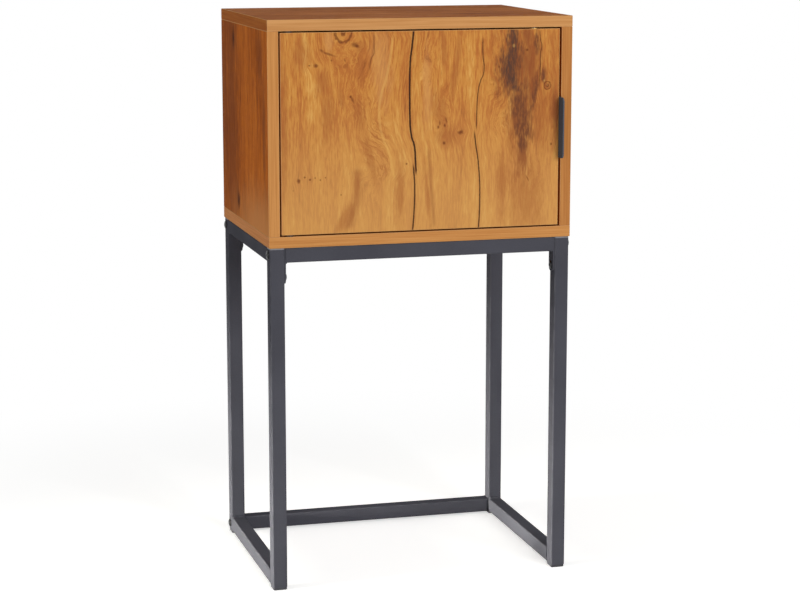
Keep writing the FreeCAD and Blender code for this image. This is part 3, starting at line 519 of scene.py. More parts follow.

# %% [markdown]
# Every board material starts by turning the object's own coordinates, which move with the door, into
# across, along and through. It ends by laying edge band, a painted highlight on the bevel, and chipboard
# over the printed face, and feeding one Principled shader. In between, each board adds its own grain and
# marks. A small class keeps the start and the end, so that a board's own cell says only what is special
# to it.

# %% Board material helpers
BEVEL_HIGHLIGHT_COLOUR = paint(226, 172, 112)
BEVEL_HIGHLIGHT_AMOUNT = 0.55  # how far the bevel is painted towards the highlight colour
BOARD_GLOSS = 0.008
DARK_ROUGHNESS = 0.66  # where the grain is darkest
PALE_SMOOTHER = -0.12  # how much the palest grain differs from that


def dress(name, *cad_nodes):
    """Puts a material in every slot of some CAD nodes."""
    for cad_node in cad_nodes:
        for slot in nodes[cad_node].material_slots:
            slot.material = materials[name]
    print(name, "on", len(cad_nodes), "nodes")


class Board:
    """One board's material while it is being made; axes are its ways across, along and through."""

    def __init__(self, name, node, axes):
        self.name = name
        self.node = node
        self.wiring, coordinates = new_material(name)
        self.position = coordinates["Object"]
        places = self.wiring.add("SeparateXYZ", {"Vector": self.position}).outputs
        low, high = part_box(node)
        self.place, self.centre, self.half = {}, {}, {}
        for way, letter in zip(BOARD_PLACE, axes):
            index = "xyz".index(letter)
            self.place[way] = places[index]
            self.centre[way] = (low + high)[index] / 2
            self.half[way] = (high - low)[index] / 2

    def outer_face(self, way):
        """1 on the half that looks outwards: way is 1 or -1 along the through axis."""
        depth = self.wiring.minus(self.place["Through"], self.centre["Through"])
        return self.wiring.fade(self.wiring.times(depth, way), -MM, MM)

    def finish(self, face, tone, relief, long_band, end_band):
        """Joins the printed face with the other surfaces and puts the material on the node."""
        w = self.wiring
        box = {"Half " + way: half for way, half in self.half.items()}
        for way, place in self.place.items():
            box[way] = w.minus(place, self.centre[way])
        zones = w.use(board_zones, box)
        band_light = w.mix(zones["End"], long_band.light, end_band.light)
        band_deep = w.mix(zones["End"], long_band.deep, end_band.deep)
        band = w.use(edge_band, {**self.place, "Light": band_light, "Deep": band_deep})["Colour"]
        raw = w.use(chipboard, {"Place": self.position})["Colour"]
        colour = w.mix(zones["Edge"], w.mix(zones["Face"], raw, face), band)
        # painted highlight: the bevel is mixed towards a pale colour, as if it caught the light
        colour = w.mix(w.times(zones["Bevel"], BEVEL_HIGHLIGHT_AMOUNT), colour, BEVEL_HIGHLIGHT_COLOUR)
        w.shade(Base_Color=colour, Roughness=w.times_plus(tone, PALE_SMOOTHER, DARK_ROUGHNESS),
                Specular_IOR_Level=BOARD_GLOSS,
                Normal=w.bump(relief, strength=0.35, distance=0.15 * MM))
        dress(self.name, self.node)


print("boards: roughness", DARK_ROUGHNESS, "where dark,", DARK_ROUGHNESS + PALE_SMOOTHER, "where pale")

# %% [markdown]
# The door carries the picture of a whole slab of old oak: honey-coloured, with two cracks, a charcoal
# stain on the right and curly figure on the left. Marks could be scattered at random, but then it
# would be some other slab. So each has a name and a place in millimetres, and can be moved by eye:
# across is to the right of the middle of the door, and along is the height above the floor.

# %% The door's knots
class Mark(NamedTuple):
    """An oval on a board, in millimetres."""
    across: float
    along: float
    half_wide: float
    half_tall: float
    lean: float = 0.0  # how far the oval itself leans, to the right for each length up
    turn: float = 0.0  # how far the grain inside runs, to the right for each length down


door_knots = {
    "upper_left_knot": Mark(-145, 709.5, 4.4, 3.0),
    "upper_left_speck": Mark(-154, 710, 2.2, 1.6),
    "below_the_rings": Mark(-89, 734, 4.0, 3.0),
    "lower_left_knot": Mark(-169, 558.5, 3.0, 3.4),
    "lower_left_speck": Mark(-161, 563, 1.9, 1.9),
    "lower_left_second_speck": Mark(-154, 560, 2.0, 1.9),
    "middle_knot": Mark(53, 617, 5.2, 3.6),
    "middle_speck": Mark(30, 603, 2.6, 3.4),
    "middle_upper_speck": Mark(31, 627, 1.8, 3.2),
    "middle_left_speck": Mark(22, 625, 1.7, 2.8),
    "crack_speck": Mark(-22, 577, 2.0, 2.0),
    "pull_speck": Mark(181.5, 597.5, 2.0, 2.6),
    "stain_speck": Mark(146, 725, 2.4, 2.4),
    "curl_speck": Mark(-98.5, 668, 2.0, 2.2),
}
door_ring_knots = {
    "top_edge_rings": Mark(-108, 753, 12, 15),
    "ring_knot": Mark(175, 677, 5.2, 5.8),
}
print("door:", len(door_knots), "small knots and", len(door_ring_knots), "with rings")

# %% [markdown]
# Round the knots lie dark dashes and flecks, left by thin twigs, and a few pale spots within the dark
# places. Curls are where the grain swirls. A curl has no outline, so its oval only says where it is
# and how far the grain turns there. Each kind could have a class of its own, but all are ovals, so
# the same mark serves.

# %% The door's dashes and curls
door_dashes = {
    "top_left_dash": Mark(-128, 724.5, 5.5, 4.4, lean=-2.3),
    "left_of_the_dash": Mark(-137, 729, 3.0, 2.8, lean=-0.6),
    "beside_the_rings": Mark(-93, 736, 5.0, 4.0),
    "upper_fleck": Mark(-106, 716, 1.3, 3.0, lean=-0.3),
    "second_fleck": Mark(-124, 716, 1.6, 1.6),
    "curl_dash": Mark(-96, 664, 2.4, 6.0, lean=-0.4),
    "middle_dash": Mark(33, 634, 1.5, 5.0, lean=-0.2),
    "middle_second_dash": Mark(24, 630, 1.4, 4.0),
    "right_foot_dash": Mark(148, 552, 1.4, 5.0, lean=-0.5),
    "lower_left_fleck": Mark(-147, 562, 1.3, 1.5),
    "lower_left_second_fleck": Mark(-140, 559, 1.2, 1.6),
    "lower_left_third_fleck": Mark(-133, 562, 1.2, 1.3),
}
door_pale_spots = {
    "heart_of_the_ring_knot": Mark(174.6, 677.4, 1.5, 1.7),
    "beside_the_ring_knot": Mark(170.6, 683.6, 1.6, 2.2),
    "hole_in_the_charcoal": Mark(127, 731, 2.2, 2.6),
}
door_curls = {
    "top_left_curl": Mark(-106, 722, 36, 36),
    "middle_left_curl": Mark(-88, 664, 30, 38, turn=0.25),
    "feathered_curl": Mark(-66, 604, 26, 54, turn=0.55),
    "lower_curl": Mark(-70, 556, 22, 34, turn=-0.2),
    "stain_curl": Mark(106, 650, 18, 40, turn=-0.55),
    "stain_top_curl": Mark(108, 722, 14, 26, turn=-0.3),
    "upper_middle_curl": Mark(8, 712, 16, 34, turn=0.35),
    "middle_curl": Mark(28, 640, 16, 40, turn=0.4),
    "lower_right_curl": Mark(158, 548, 14, 26, turn=-0.5),
}
print("door:", len(door_dashes), "dashes,", len(door_curls), "curls")

# %% [markdown]
# Stains are thin coats of a wash: brown for the warm clouds all over the door, and a paler one beside
# the main crack and the rings at the top. A cloud with a ragged outline would be hard to write as one
# formula. It is built up from ovals that overlap, which is why there are so many.

# %% The door's brown and pale stains
door_brown_stains = {
    "by_the_top_rings": Mark(-84, 731, 7, 14),
    "under_the_top_rings": Mark(-84, 704, 5, 30),
    "left_cloud": Mark(-136, 686, 11, 26),
    "left_cloud_tail": Mark(-130, 645, 12, 40),
    "left_streak": Mark(-111, 665, 5, 17, lean=-0.2),
    "curl_shade": Mark(-86, 640, 9, 36, lean=-0.1),
    "feather_shade": Mark(-72, 585, 7, 40, lean=-0.2),
    "lower_left_wave": Mark(-90, 552, 5, 34, lean=0.05),
    "lower_left_tail": Mark(-98, 512, 6, 30, lean=0.35),
    "lower_left_cloud": Mark(-107, 508, 8, 26, lean=0.45),
    "foot_of_the_crack": Mark(-32, 540, 9, 62),
    "right_of_the_crack": Mark(29, 730, 6, 34, lean=-0.1),
    "second_right_streak": Mark(46, 704, 7, 50, lean=0.15),
    "middle_cloud": Mark(24, 646, 13, 40, lean=-0.1),
    "middle_lower_cloud": Mark(34, 612, 20, 20),
    "right_foot_cloud": Mark(146, 532, 30, 60),
    "right_foot_edge": Mark(112, 545, 10, 60),
    "middle_foot": Mark(8, 530, 4, 60, lean=-0.1),
    "far_left_edge": Mark(-189, 640, 7, 130),
    "lower_right_streak": Mark(149, 520, 3.5, 40),
    "upper_left_cloud": Mark(-166, 722, 16, 26),
    "right_edge": Mark(184, 676, 12, 90),
    "beside_the_pull": Mark(167, 630, 13, 70),
    "left_of_the_tail": Mark(125, 620, 12, 48),
    "left_of_the_charcoal": Mark(100, 744, 8, 16),
}
door_pale_stains = {
    "left_of_the_crack": Mark(-56, 706, 18, 64),
    "left_of_the_rings": Mark(-128, 744, 9, 20),
    "right_of_the_crack": Mark(6, 680, 8, 70),
}
print("door:", len(door_brown_stains), "brown and", len(door_pale_stains), "pale stains")

# %% [markdown]
# Near the pull, a dark streak runs down from the top as if the wood had been scorched. It has no one
# colour: a redder brown lies round it, smoke darkens that, and charcoal is its core. A single dark
# wash would look like a blot, so there are three kinds of stain, each with ovals of its own.

# %% The door's dark streak
door_red_stains = {
    "round_the_charcoal": Mark(134, 704, 38, 74),
    "above_the_ring_knot": Mark(170, 692, 6, 16),
    "right_of_the_charcoal": Mark(150, 712, 15, 52),
    "below_the_charcoal": Mark(140, 646, 28, 56),
    "right_tail": Mark(154, 668, 11, 50, lean=0.2),
    "foot_of_the_tail": Mark(140, 588, 14, 44),
    "inside_the_ring_knot": Mark(175.4, 676.4, 5.6, 6.2),
    "top_edge": Mark(146, 742, 13, 24),
    "edge_by_the_pull": Mark(187, 640, 8, 36),
}
door_charcoal_stains = {
    "charcoal_top": Mark(127, 738, 11, 26),
    "charcoal_upper": Mark(123, 714, 13, 26),
    "charcoal_lower": Mark(120, 698, 13, 18, lean=-0.3),
    "charcoal_tip": Mark(126, 683, 8, 17, lean=-0.2),
}
door_smoke_stains = {
    "beside_the_charcoal": Mark(122, 704, 20, 44),
    "tail_upper": Mark(135, 654, 17, 40),
    "tail_lower": Mark(140, 622, 17, 34),
    "tail_foot": Mark(140, 602, 10, 15),
    "right_smear": Mark(156, 660, 7.5, 38, lean=0.2),
    "right_top_smear": Mark(160, 738, 5.0, 18),
    "above_the_ring_knot": Mark(168, 690, 5, 12),
}
print("dark streak:", len(door_red_stains), "red,", len(door_smoke_stains), "smoke and",
      len(door_charcoal_stains), "charcoal stains")

# %% [markdown]
# Each line on the door follows a path of a few points: height above the floor, then place across the
# door. The main crack and the thin crack both jump sideways part of the way down, so each is drawn as
# an upper and a lower line that fade out where they pass each other.

# %% The door's lines
class Path(NamedTuple):
    """A line down a board: its points from the top down and its width, in millimetres."""
    points: tuple
    width: float
    strength: float


main_crack_upper = Path(
    ((765, -11.0), (733, -14.3), (705, -17.2), (671, -17.6), (633, -17.1),
     (614, -15.1), (596, -10.4), (578, -9.4), (560, -8.6)), 2.6, 0.95)
main_crack_lower = Path(
    ((578, -12.6), (566, -11.8), (543, -10.6), (507, -11.8), (482, -14.8)), 2.1, 0.88)
thin_crack_upper = Path(
    ((744, 83.6), (719, 83.9), (702, 85.5), (685, 80.6), (663, 76.6), (630, 75.3),
     (618, 75.0)), 1.4, 0.78)
thin_crack_lower = Path(
    ((620, 72.2), (601, 74.3), (574, 78.3), (535, 80.6), (480, 78.4)), 1.8, 0.88)
right_streak = Path(
    ((753, 163.2), (737, 165.0), (729, 166.5), (722, 165.0), (693, 164.5), (676, 163.0)), 1.3, 0.62)
forked_line = Path(
    ((753, -66.6), (736, -66.3), (726, -66.2), (718, -70.0), (700, -73.4)), 1.2, 0.52)
brown_wave = Path(
    ((575, -92), (565, -90), (547, -88), (527, -91), (511, -96), (490, -102)), 3.6, 0.24)
red_line = Path(
    ((600, 9), (577, 10), (550, 12), (523, 14.5), (488, 17)), 1.2, 0.36)
pale_line = Path(
    ((750, -40.5), (722, -43.8), (695, -48.8), (668, -56.9), (648, -59.7), (627, -57.9),
     (610, -53.5), (596, -47.5), (579, -42.6), (555, -39.0)), 3.4, 0.36)
print("main crack:", len(main_crack_upper.points) + len(main_crack_lower.points), "points")

# %% [markdown]
# A Float Curve works between 0 and 1, so a path is scaled to the span of its own points before it
# goes in and back to metres after. Its ends fade, which lets a line stop partway down the board.

# %% Paths as curves
FADE_MM = 9.0  # length over which a line's end fades


def follow(board, path):
    """Where a path lies across the board, and how strongly it is drawn there."""
    w = board.wiring
    heights = [height * MM for height, across in path.points]
    places = [across * MM for height, across in path.points]
    low, high = min(heights), max(heights)
    left, right = min(places), max(places)
    curve_node = w.add("FloatCurve", {"Value": w.over(w.minus(board.place["Along"], low), high - low)})
    curve = curve_node.mapping.curves[0]
    scaled = sorted(((h - low) / (high - low), (a - left) / (right - left))
                    for h, a in zip(heights, places))
    curve.points[0].location = scaled[0]
    curve.points[1].location = scaled[-1]
    for spot in scaled[1:-1]:
        curve.points.new(*spot)
    curve_node.mapping.update()
    across = w.times_plus(curve_node, right - left, left)
    from_top = w.fade(board.place["Along"], high + MM, high - FADE_MM * MM)
    from_foot = w.fade(board.place["Along"], low - MM, low + FADE_MM * MM)
    return across, w.times(from_top, from_foot)


def draw(board, path, *parts):
    """The masks of a path's parts: its Line, the Shade beside it, or both."""
    across, drawn = follow(board, path)
    masks = board.wiring.use(crack_line, {**board.place, "Path": across, "Width": path.width * MM})
    return [board.wiring.times(masks[part], drawn) for part in parts]


def oval(mark):
    """A mark's inputs for the stain and knot groups."""
    return {"Centre Across": mark.across * MM, "Centre Along": mark.along * MM,
            "Half Wide": mark.half_wide * MM, "Half Tall": mark.half_tall * MM}


print("line ends fade over", FADE_MM, "mm")

# %% [markdown]
# First the grain is bent. Near a crack it runs alongside, and inside a curl it leans over while two
# rounder noises push it about. Bending the place before the grain is looked up is called domain
# warping, and it is what turns straight streaks into figured wood.

# %% Bend the door's grain
CRACK_REACH = 46 * MM  # how far a crack steers the grain beside it
CRACK_STEER = 0.6
CURL_PUSH = 8 * MM  # how far the broader noise moves the grain in a curl,
CURL_RUFFLE = 6 * MM  # and how far the finer one does
CURL_RAGGED = 0.5

door = Board("door_wood", "door_panel", "xzy")
w = door.wiring
bent = door.place["Across"]
for path in (main_crack_upper, main_crack_lower, thin_crack_lower, pale_line):
    path_across, drawn = follow(door, path)
    rest_across = sum(across for height, across in path.points) / len(path.points) * MM
    reach = w.over(w.minus(door.place["Across"], path_across), CRACK_REACH)
    near = w.calc("POWER", math.e, w.times(w.times(reach, reach), -1.0))
    steer = w.times(w.minus(rest_across, path_across), drawn)
    bent = w.times_plus(steer, w.times(near, CRACK_STEER), bent)

curled = 0.0
for mark in door_curls.values():
    inputs = {**door.place, **oval(mark), "Lean": mark.lean, "Ragged": CURL_RAGGED}
    inside = w.use(soft_stain, inputs)["Mask"]
    drop = w.minus(mark.along * MM, door.place["Along"])
    bent = w.times_plus(w.times(drop, inside), -mark.turn, bent)
    curled = w.larger(curled, inside)
push = w.waver(door.place, across=58, along=42)
ruffle = w.waver(door.place, across=210, along=150, detail=4)
push = w.times_plus(ruffle, 2 * CURL_RUFFLE, w.times(push, 2 * CURL_PUSH))
bent = w.times_plus(push, curled, bent)
print("door grain bent with", len(w.tree.nodes), "nodes")

# %% [markdown]
# A knot pushes the grain aside, which is all the bending it needs. The same loop gathers the dark
# cores and the rings into one mask each, for the colours later.

# %% Make way for the knots
dark_knots = {"Core": 0.0, "Rings": 0.0}
for part, marks in (("Core", door_knots), ("Rings", door_ring_knots)):
    for mark in marks.values():
        outputs = w.use(knot, {**door.place, **oval(mark)})
        bent = w.plus(bent, outputs["Push"])
        dark_knots[part] = w.larger(dark_knots[part], outputs[part])
print("door grain bent with", len(w.tree.nodes), "nodes")

# %% [markdown]
# A stain soaks in and lets the grain show through, so a wash is mixed over the wood by a mask and
# never quite covers it. Every oval could be mixed in by itself, but where two overlap the wood would
# turn too dark. So the ovals of one wash are joined first, the stronger one winning, and the wash is
# laid once.

# %% Washes
class Wash(NamedTuple):
    """A thin coat of colour: its strength where its mask is full, and how ragged its rims are."""
    colour: tuple
    strength: float
    ragged: float = 0.0


def lay(board, colour, mask, wash):
    """A colour under a wash."""
    return board.wiring.mix(board.wiring.times(mask, wash.strength), colour, wash.colour)


def stain(board, colour, marks, wash, where=1.0):
    """A colour under several stains of one wash, as strong as where allows."""
    w = board.wiring
    mask = 0.0
    for mark in marks.values():
        inputs = {**board.place, **oval(mark), "Lean": mark.lean, "Ragged": wash.ragged}
        mask = w.larger(mask, w.use(soft_stain, inputs)["Mask"])
    return lay(board, colour, w.times(mask, where), wash)


print("a wash has", ", ".join(Wash._fields))

# %% [markdown]
# Then the colours go on in order: the bent grain, a yellower foot, the stains from pale to dark, the
# specks and the knots, and last a few pale spots. All the masks could be summed up and mixed in once,
# but coats that lie over each other can be tuned one at a time.

# %% Colour the door
DOOR_PALETTE = {"Pale": paint(217, 163, 88), "Honey": paint(201, 137, 67),
                "Brown": paint(183, 112, 56), "Dark": paint(144, 84, 45)}
DOOR_SWAY = 14 * MM
BROWN = paint(160, 92, 50)
RED_BROWN = paint(136, 75, 46)
SMOKE = paint(108, 66, 47)
KNOT_BROWN = paint(104, 52, 32)
PALE_STREAK = paint(224, 174, 96)
YELLOW_FOOT = Wash(paint(214, 162, 96), 0.52)
PALE_WASH = Wash(paint(212, 156, 94), 0.45, ragged=1.2)
BROWN_WASH = Wash(BROWN, 0.50, ragged=1.2)
RED_WASH = Wash(RED_BROWN, 0.76, ragged=1.2)
SMOKE_WASH = Wash(SMOKE, 0.90, ragged=1.7)
UNDER_SOOT = Wash(SMOKE, 0.55, ragged=0.9)
SOOT_WASH = Wash(paint(84, 62, 53), 0.82, ragged=2.4)
SPECK_WASH = Wash(KNOT_BROWN, 0.55)
RING_WASH = Wash(KNOT_BROWN, 0.74)
CORE_WASH = Wash(KNOT_BROWN, 0.75)
DASH_WASH = Wash(KNOT_BROWN, 0.62, ragged=0.5)
SPOT_WASH = Wash(PALE_STREAK, 0.36, ragged=0.8)

grain = w.use(wood_grain, {**door.place, "Across": bent, "Sway": DOOR_SWAY, **DOOR_PALETTE})
colour = lay(door, grain["Colour"], w.fade(door.place["Along"], 0.70, 0.49), YELLOW_FOOT)
colour = stain(door, colour, door_pale_stains, PALE_WASH)
colour = stain(door, colour, door_brown_stains, BROWN_WASH)
colour = stain(door, colour, door_red_stains, RED_WASH)
mottle = w.fade(w.streaks(door.place, across=380, along=110, detail=4), 0.30, 0.62)
colour = stain(door, colour, door_smoke_stains, SMOKE_WASH, where=w.times_plus(mottle, 0.7, 0.3))
colour = stain(door, colour, door_charcoal_stains, UNDER_SOOT)
colour = stain(door, colour, door_charcoal_stains, SOOT_WASH, where=mottle)
colour = lay(door, colour, w.use(specks, door.place)["Mask"], SPECK_WASH)
colour = lay(door, colour, dark_knots["Rings"], RING_WASH)
colour = lay(door, colour, dark_knots["Core"], CORE_WASH)
colour = stain(door, colour, door_dashes, DASH_WASH)
colour = stain(door, colour, door_pale_spots, SPOT_WASH)
print("door stained with", len(w.tree.nodes), "nodes")

# %% [markdown]
# In the middle of the curly left half, the grain breaks up into short slanting dashes, like the
# barbs of a feather. They are streaks like the rest, but looked up in a slanted place, and only the
# crests of the noise are kept.

# %% Feather the door's figure
FEATHER_SLANT = 0.7  # how far a dash runs to the right for each length down
door_feathers = {
    "below_the_curl": Mark(-66, 612, 20, 40),
    "feather_foot": Mark(-56, 574, 13, 30),
    "upper_feather": Mark(-80, 652, 16, 24),
}
BARB_WASH = Wash(BROWN, 0.62, ragged=0.8)
slanted = w.times_plus(door.place["Along"], FEATHER_SLANT, bent)
dashes = w.streaks({**door.place, "Across": slanted}, across=290, along=40, detail=3)
colour = stain(door, colour, door_feathers, BARB_WASH, where=w.fade(dashes, 0.48, 0.64))
print("feathers:", len(door_feathers))

# %% [markdown]
# The lines come last, so that they lie over every stain. A pale line and two reddish ones only tint
# the wood. The cracks darken it nearly to black, and they also go into the relief. All this is on the
# front only. The inside gets plain grain, looked up elsewhere so that it does not repeat the front.

# %% Draw the door's lines
PLAIN_SWAY = 22 * MM
INSIDE_OFFSET = 3.0  # metres along the grain
CRACK_DARK = paint(46, 29, 27)
CRACK_SHADE = 0.18
GROOVE_DEEP = 3.0  # as a multiple of the grain's own relief

[pale_mask] = draw(door, pale_line, "Line")
colour = w.mix(w.times(pale_mask, pale_line.strength), colour, PALE_STREAK)
for path in (brown_wave, red_line):
    [beside] = draw(door, path, "Shade")
    colour = w.mix(w.times(beside, path.strength), colour, RED_BROWN)
groove = 0.0
for path in (main_crack_upper, main_crack_lower, thin_crack_upper, thin_crack_lower,
             right_streak, forked_line):
    line_mask, beside = draw(door, path, "Line", "Shade")
    line_mask = w.times(line_mask, path.strength)
    colour = w.mix(w.times(beside, CRACK_SHADE), colour, BROWN)
    colour = w.mix(line_mask, colour, CRACK_DARK)
    groove = w.larger(groove, line_mask)
front = door.outer_face(-1)
inside_place = {**door.place, "Along": w.plus(door.place["Along"], INSIDE_OFFSET)}
inside = w.use(wood_grain, {**inside_place, "Sway": PLAIN_SWAY, **DOOR_PALETTE})
colour = w.mix(front, inside["Colour"], colour)
relief = w.times_plus(w.times(groove, front), -GROOVE_DEEP, grain["Relief"])
# painted shade: the dark end band on the door's top and bottom edges darkens the gap round the door
door.finish(colour, grain["Tone"], relief, BROWN_BAND, DARK_END_PAINTED_SHADE)
print("door wood:", len(w.tree.nodes), "nodes")

# %% [markdown]
# The other boards have the same print in a redder, browner stretch, with less figure. The left
# side is darker along its back, partly in the print and partly as painted shade where less light
# falls; there it shows a split and a long knot below it, and it is pale along its foot. The right side
# gets marks of its own, since no two stretches of a print are alike. The top's grain runs from side
# to side, and the top and bottom are browner and greyer than the sides, a painted shade and sheen
# for the little light that falls on the top from above. All this could be wired board by board. It
# is written down as one plan for each board instead, so that the boards can be compared at a glance.

# %% Plans for the carcass boards
SIDE_PALETTE = {"Pale": paint(218, 126, 40), "Honey": paint(200, 108, 34),
                "Brown": paint(174, 90, 29), "Dark": paint(130, 66, 24)}
# painted shade and sheen: the flat boards are browner and greyer than the sides, as the top looks under
# the weak light from above
FLAT_BOARD_SHADE_AND_SHEEN_PALETTE = {"Pale": paint(203, 129, 64), "Honey": paint(183, 109, 51),
               "Brown": paint(160, 92, 43), "Dark": paint(120, 67, 33)}


class Carcass(NamedTuple):
    """How one carcass board is turned and marked."""
    axes: str  # across, along and through
    outer: int  # which way along the through axis is outside
    palette: dict
    long_band: Band
    end_band: Band
    shades: dict = {}
    splits: dict = {}
    knots: dict = {}
    pales: dict = {}


left_shades = {
    # partly print and partly painted shade: these darken the left side towards its back, where less
    # light falls
    "back_edge_print_and_painted_shade": Mark(148, 620, 44, 260),
    "back_print_and_painted_shade": Mark(96, 612, 58, 420),
    "round_the_split": Mark(82, 724, 18, 40),
    "below_the_split": Mark(84, 640, 20, 120),
    "round_the_knot": Mark(62, 512, 20, 40),
    "front_smear": Mark(-122, 625, 13, 90),
    "front_top": Mark(-100, 720, 22, 60),
}
carcass_boards = {
    "left_side_panel": Carcass(
        "yzx", -1, SIDE_PALETTE, HONEY_BAND, RED_END_PAINTED_SHADE, left_shades,
        splits={"back_split": Mark(78, 737, 9, 20), "lower_split": Mark(52, 509, 10, 16)},
        knots={"lower_knot": Mark(52, 509, 9, 14)}, pales={"foot": Mark(-110, 470, 230, 85)}),
    "right_side_panel": Carcass(
        "yzx", 1, SIDE_PALETTE, BROWN_BAND, RED_END_PAINTED_SHADE,
        {"front_shade": Mark(-90, 600, 18, 130), "back_shade": Mark(120, 640, 12, 160)},
        splits={"upper_split": Mark(36, 706, 8, 16)}, knots={"upper_knot": Mark(36, 706, 6, 11)}),
    "top_panel": Carcass(
        "yxz", 1, FLAT_BOARD_SHADE_AND_SHEEN_PALETTE, PALE_BAND, DARK_END_PAINTED_SHADE,
        {"rear_shade": Mark(110, -40, 16, 180), "front_shade": Mark(-60, 90, 12, 110)}),
    "bottom_panel": Carcass("yxz", -1, FLAT_BOARD_SHADE_AND_SHEEN_PALETTE, HONEY_BAND, PALE_END_PAINTED_LIGHT),
}
print("carcass boards:", list(carcass_boards))

# %% [markdown]
# A cell for each board would say the same thing four times, so one loop follows the plans. A board's
# grain makes way for its knots, and then come the shades, the pale foot, the specks and the splits.
# Apart from the specks, the marks stay on the outer face, and the inside is left plain.

# %% Carcass boards
SHADE_BROWN = paint(112, 56, 30)
SHADE_WASH = Wash(SHADE_BROWN, 0.55, ragged=1.2)
FOOT_WASH = Wash(paint(213, 143, 84), 0.90, ragged=0.3)
CARCASS_SPECK_WASH = Wash(SHADE_BROWN, 0.5)
SPLIT_WASH = Wash(paint(58, 30, 20), 0.85, ragged=1.3)

for node, plan in carcass_boards.items():
    board = Board(node + "_wood", node, plan.axes)
    w = board.wiring
    outside = board.outer_face(plan.outer)
    bent = board.place["Across"]
    for mark in plan.knots.values():
        push = w.use(knot, {**board.place, **oval(mark)})["Push"]
        bent = w.times_plus(push, outside, bent)
    grain = w.use(wood_grain, {**board.place, "Across": bent, "Sway": PLAIN_SWAY, **plan.palette})
    colour = stain(board, grain["Colour"], plan.shades, SHADE_WASH, outside)
    colour = stain(board, colour, plan.pales, FOOT_WASH, outside)
    colour = lay(board, colour, w.use(specks, board.place)["Mask"], CARCASS_SPECK_WASH)
    colour = stain(board, colour, plan.splits, SPLIT_WASH, outside)
    board.finish(colour, grain["Tone"], grain["Relief"], plan.long_band, plan.end_band)

# %% [markdown]
# The back panel is hardboard: pressed fibres, smooth in front and with a cloth-like print of the
# press screen behind. The dowels are beech, pale with short flecks. Neither needs the printed
# grain, so each gets a few nodes of its own.

# %% Hardboard and beech
SCREEN_WAVES = 2200  # waves of the press screen per metre, in radians

w, coordinates = new_material("hardboard")
place = coordinates["Object"]
felt = w.noise(place, detail=5, scale=420.0)
hairs = w.noise(w.stretched(place, 900, 900, 260))
fibre_tone = w.times_plus(hairs, 0.6, w.times(felt, 0.5))
colour = w.mix(w.fade(fibre_tone, 0.2, 0.9), paint(138, 94, 58), paint(168, 120, 78))
sides = w.add("SeparateXYZ", {"Vector": place}).outputs
screen_x = w.calc("SINE", w.times(sides["X"], SCREEN_WAVES))
screen_z = w.calc("SINE", w.times(sides["Z"], SCREEN_WAVES))
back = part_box("back_panel")[1].y
behind = w.fade(sides["Y"], back - 0.6 * MM, back - 0.2 * MM)
press_height = w.times_plus(hairs, 0.5, w.times(w.times(screen_x, screen_z), behind))
w.shade(Base_Color=colour, Roughness=0.78, Specular_IOR_Level=0.15,
        Normal=w.bump(press_height, strength=0.4, distance=0.15 * MM))
dress("hardboard", "back_panel")

w, coordinates = new_material("beech")
flecks = w.noise(w.stretched(coordinates["Object"], 900, 900, 60), detail=3)
colour = w.mix(w.fade(flecks, 0.35, 0.7), paint(206, 160, 110), paint(232, 196, 150))
w.shade(Base_Color=colour, Roughness=0.7,
        Normal=w.bump(flecks, strength=0.3, distance=0.1 * MM))
dress("beech", "wood_dowels")

# %% [markdown]
# The frame and the pull are steel under a dark grey powder coat. Powder melts into a skin with a
# fine orange-peel texture and a faint speckle. The tube's rounded corners get a painted highlight,
# a lighter grey than the flat sides. The corners show in the normals: on a flat side one part of the
# normal is close to one, and on a corner none is. Both effects are groups, because more than one
# material uses them.

# %% Powder coat groups
w = Group("orange_peel", {"Place": VECTOR}, numbers("Speckle", "Relief"))
peel = w.noise(w.given["Place"], scale=950.0)
speckle = w.noise(w.given["Place"], scale=2600.0)
cloud = w.noise(w.given["Place"], detail=3, scale=9.0)
speckle_mix = w.times_plus(cloud, 0.45, w.times(speckle, 0.55))
orange_peel = w.close(Speckle=w.fade(speckle_mix, 0.30, 0.70), Relief=w.times_plus(speckle, 0.35, peel))

w = Group("painted_corner_highlight", {"Facing": VECTOR, "Place": VECTOR}, numbers("Mask"))
flattest = 0.0
for side in w.add("SeparateXYZ", {"Vector": w.given["Facing"]}).outputs:
    flattest = w.larger(flattest, w.calc("ABSOLUTE", side))
patchy = w.fade(w.noise(w.given["Place"], detail=3, scale=60.0), 0.35, 0.65)
painted_corner_highlight = w.close(Mask=w.times(w.fade(flattest, 0.97, 0.74), patchy))

# %% [markdown]
# The two coats differ only in their greys, so one loop makes both. The pull's greys are painted
# lighter and bluer than the frame's: painted light, which makes up for the shade and the warm light from
# the wood that fall on its side. Gloss is kept close to nothing: in a white room, any gloss turns a dark
# surface pale at a flat angle, and the upper faces of the rails are meant to stay darker than their
# fronts.

# %% Powder-coated steel
class Finish(NamedTuple):
    """A surface that varies between two colours, and the nodes that have it."""
    light: tuple
    deep: tuple
    roughness: float
    nodes: tuple
    corner: tuple = ()  # a powder coat's painted highlight on its rounded corners
    metallic: float = 1.0  # of a bare metal
    oiled: float = 0.0


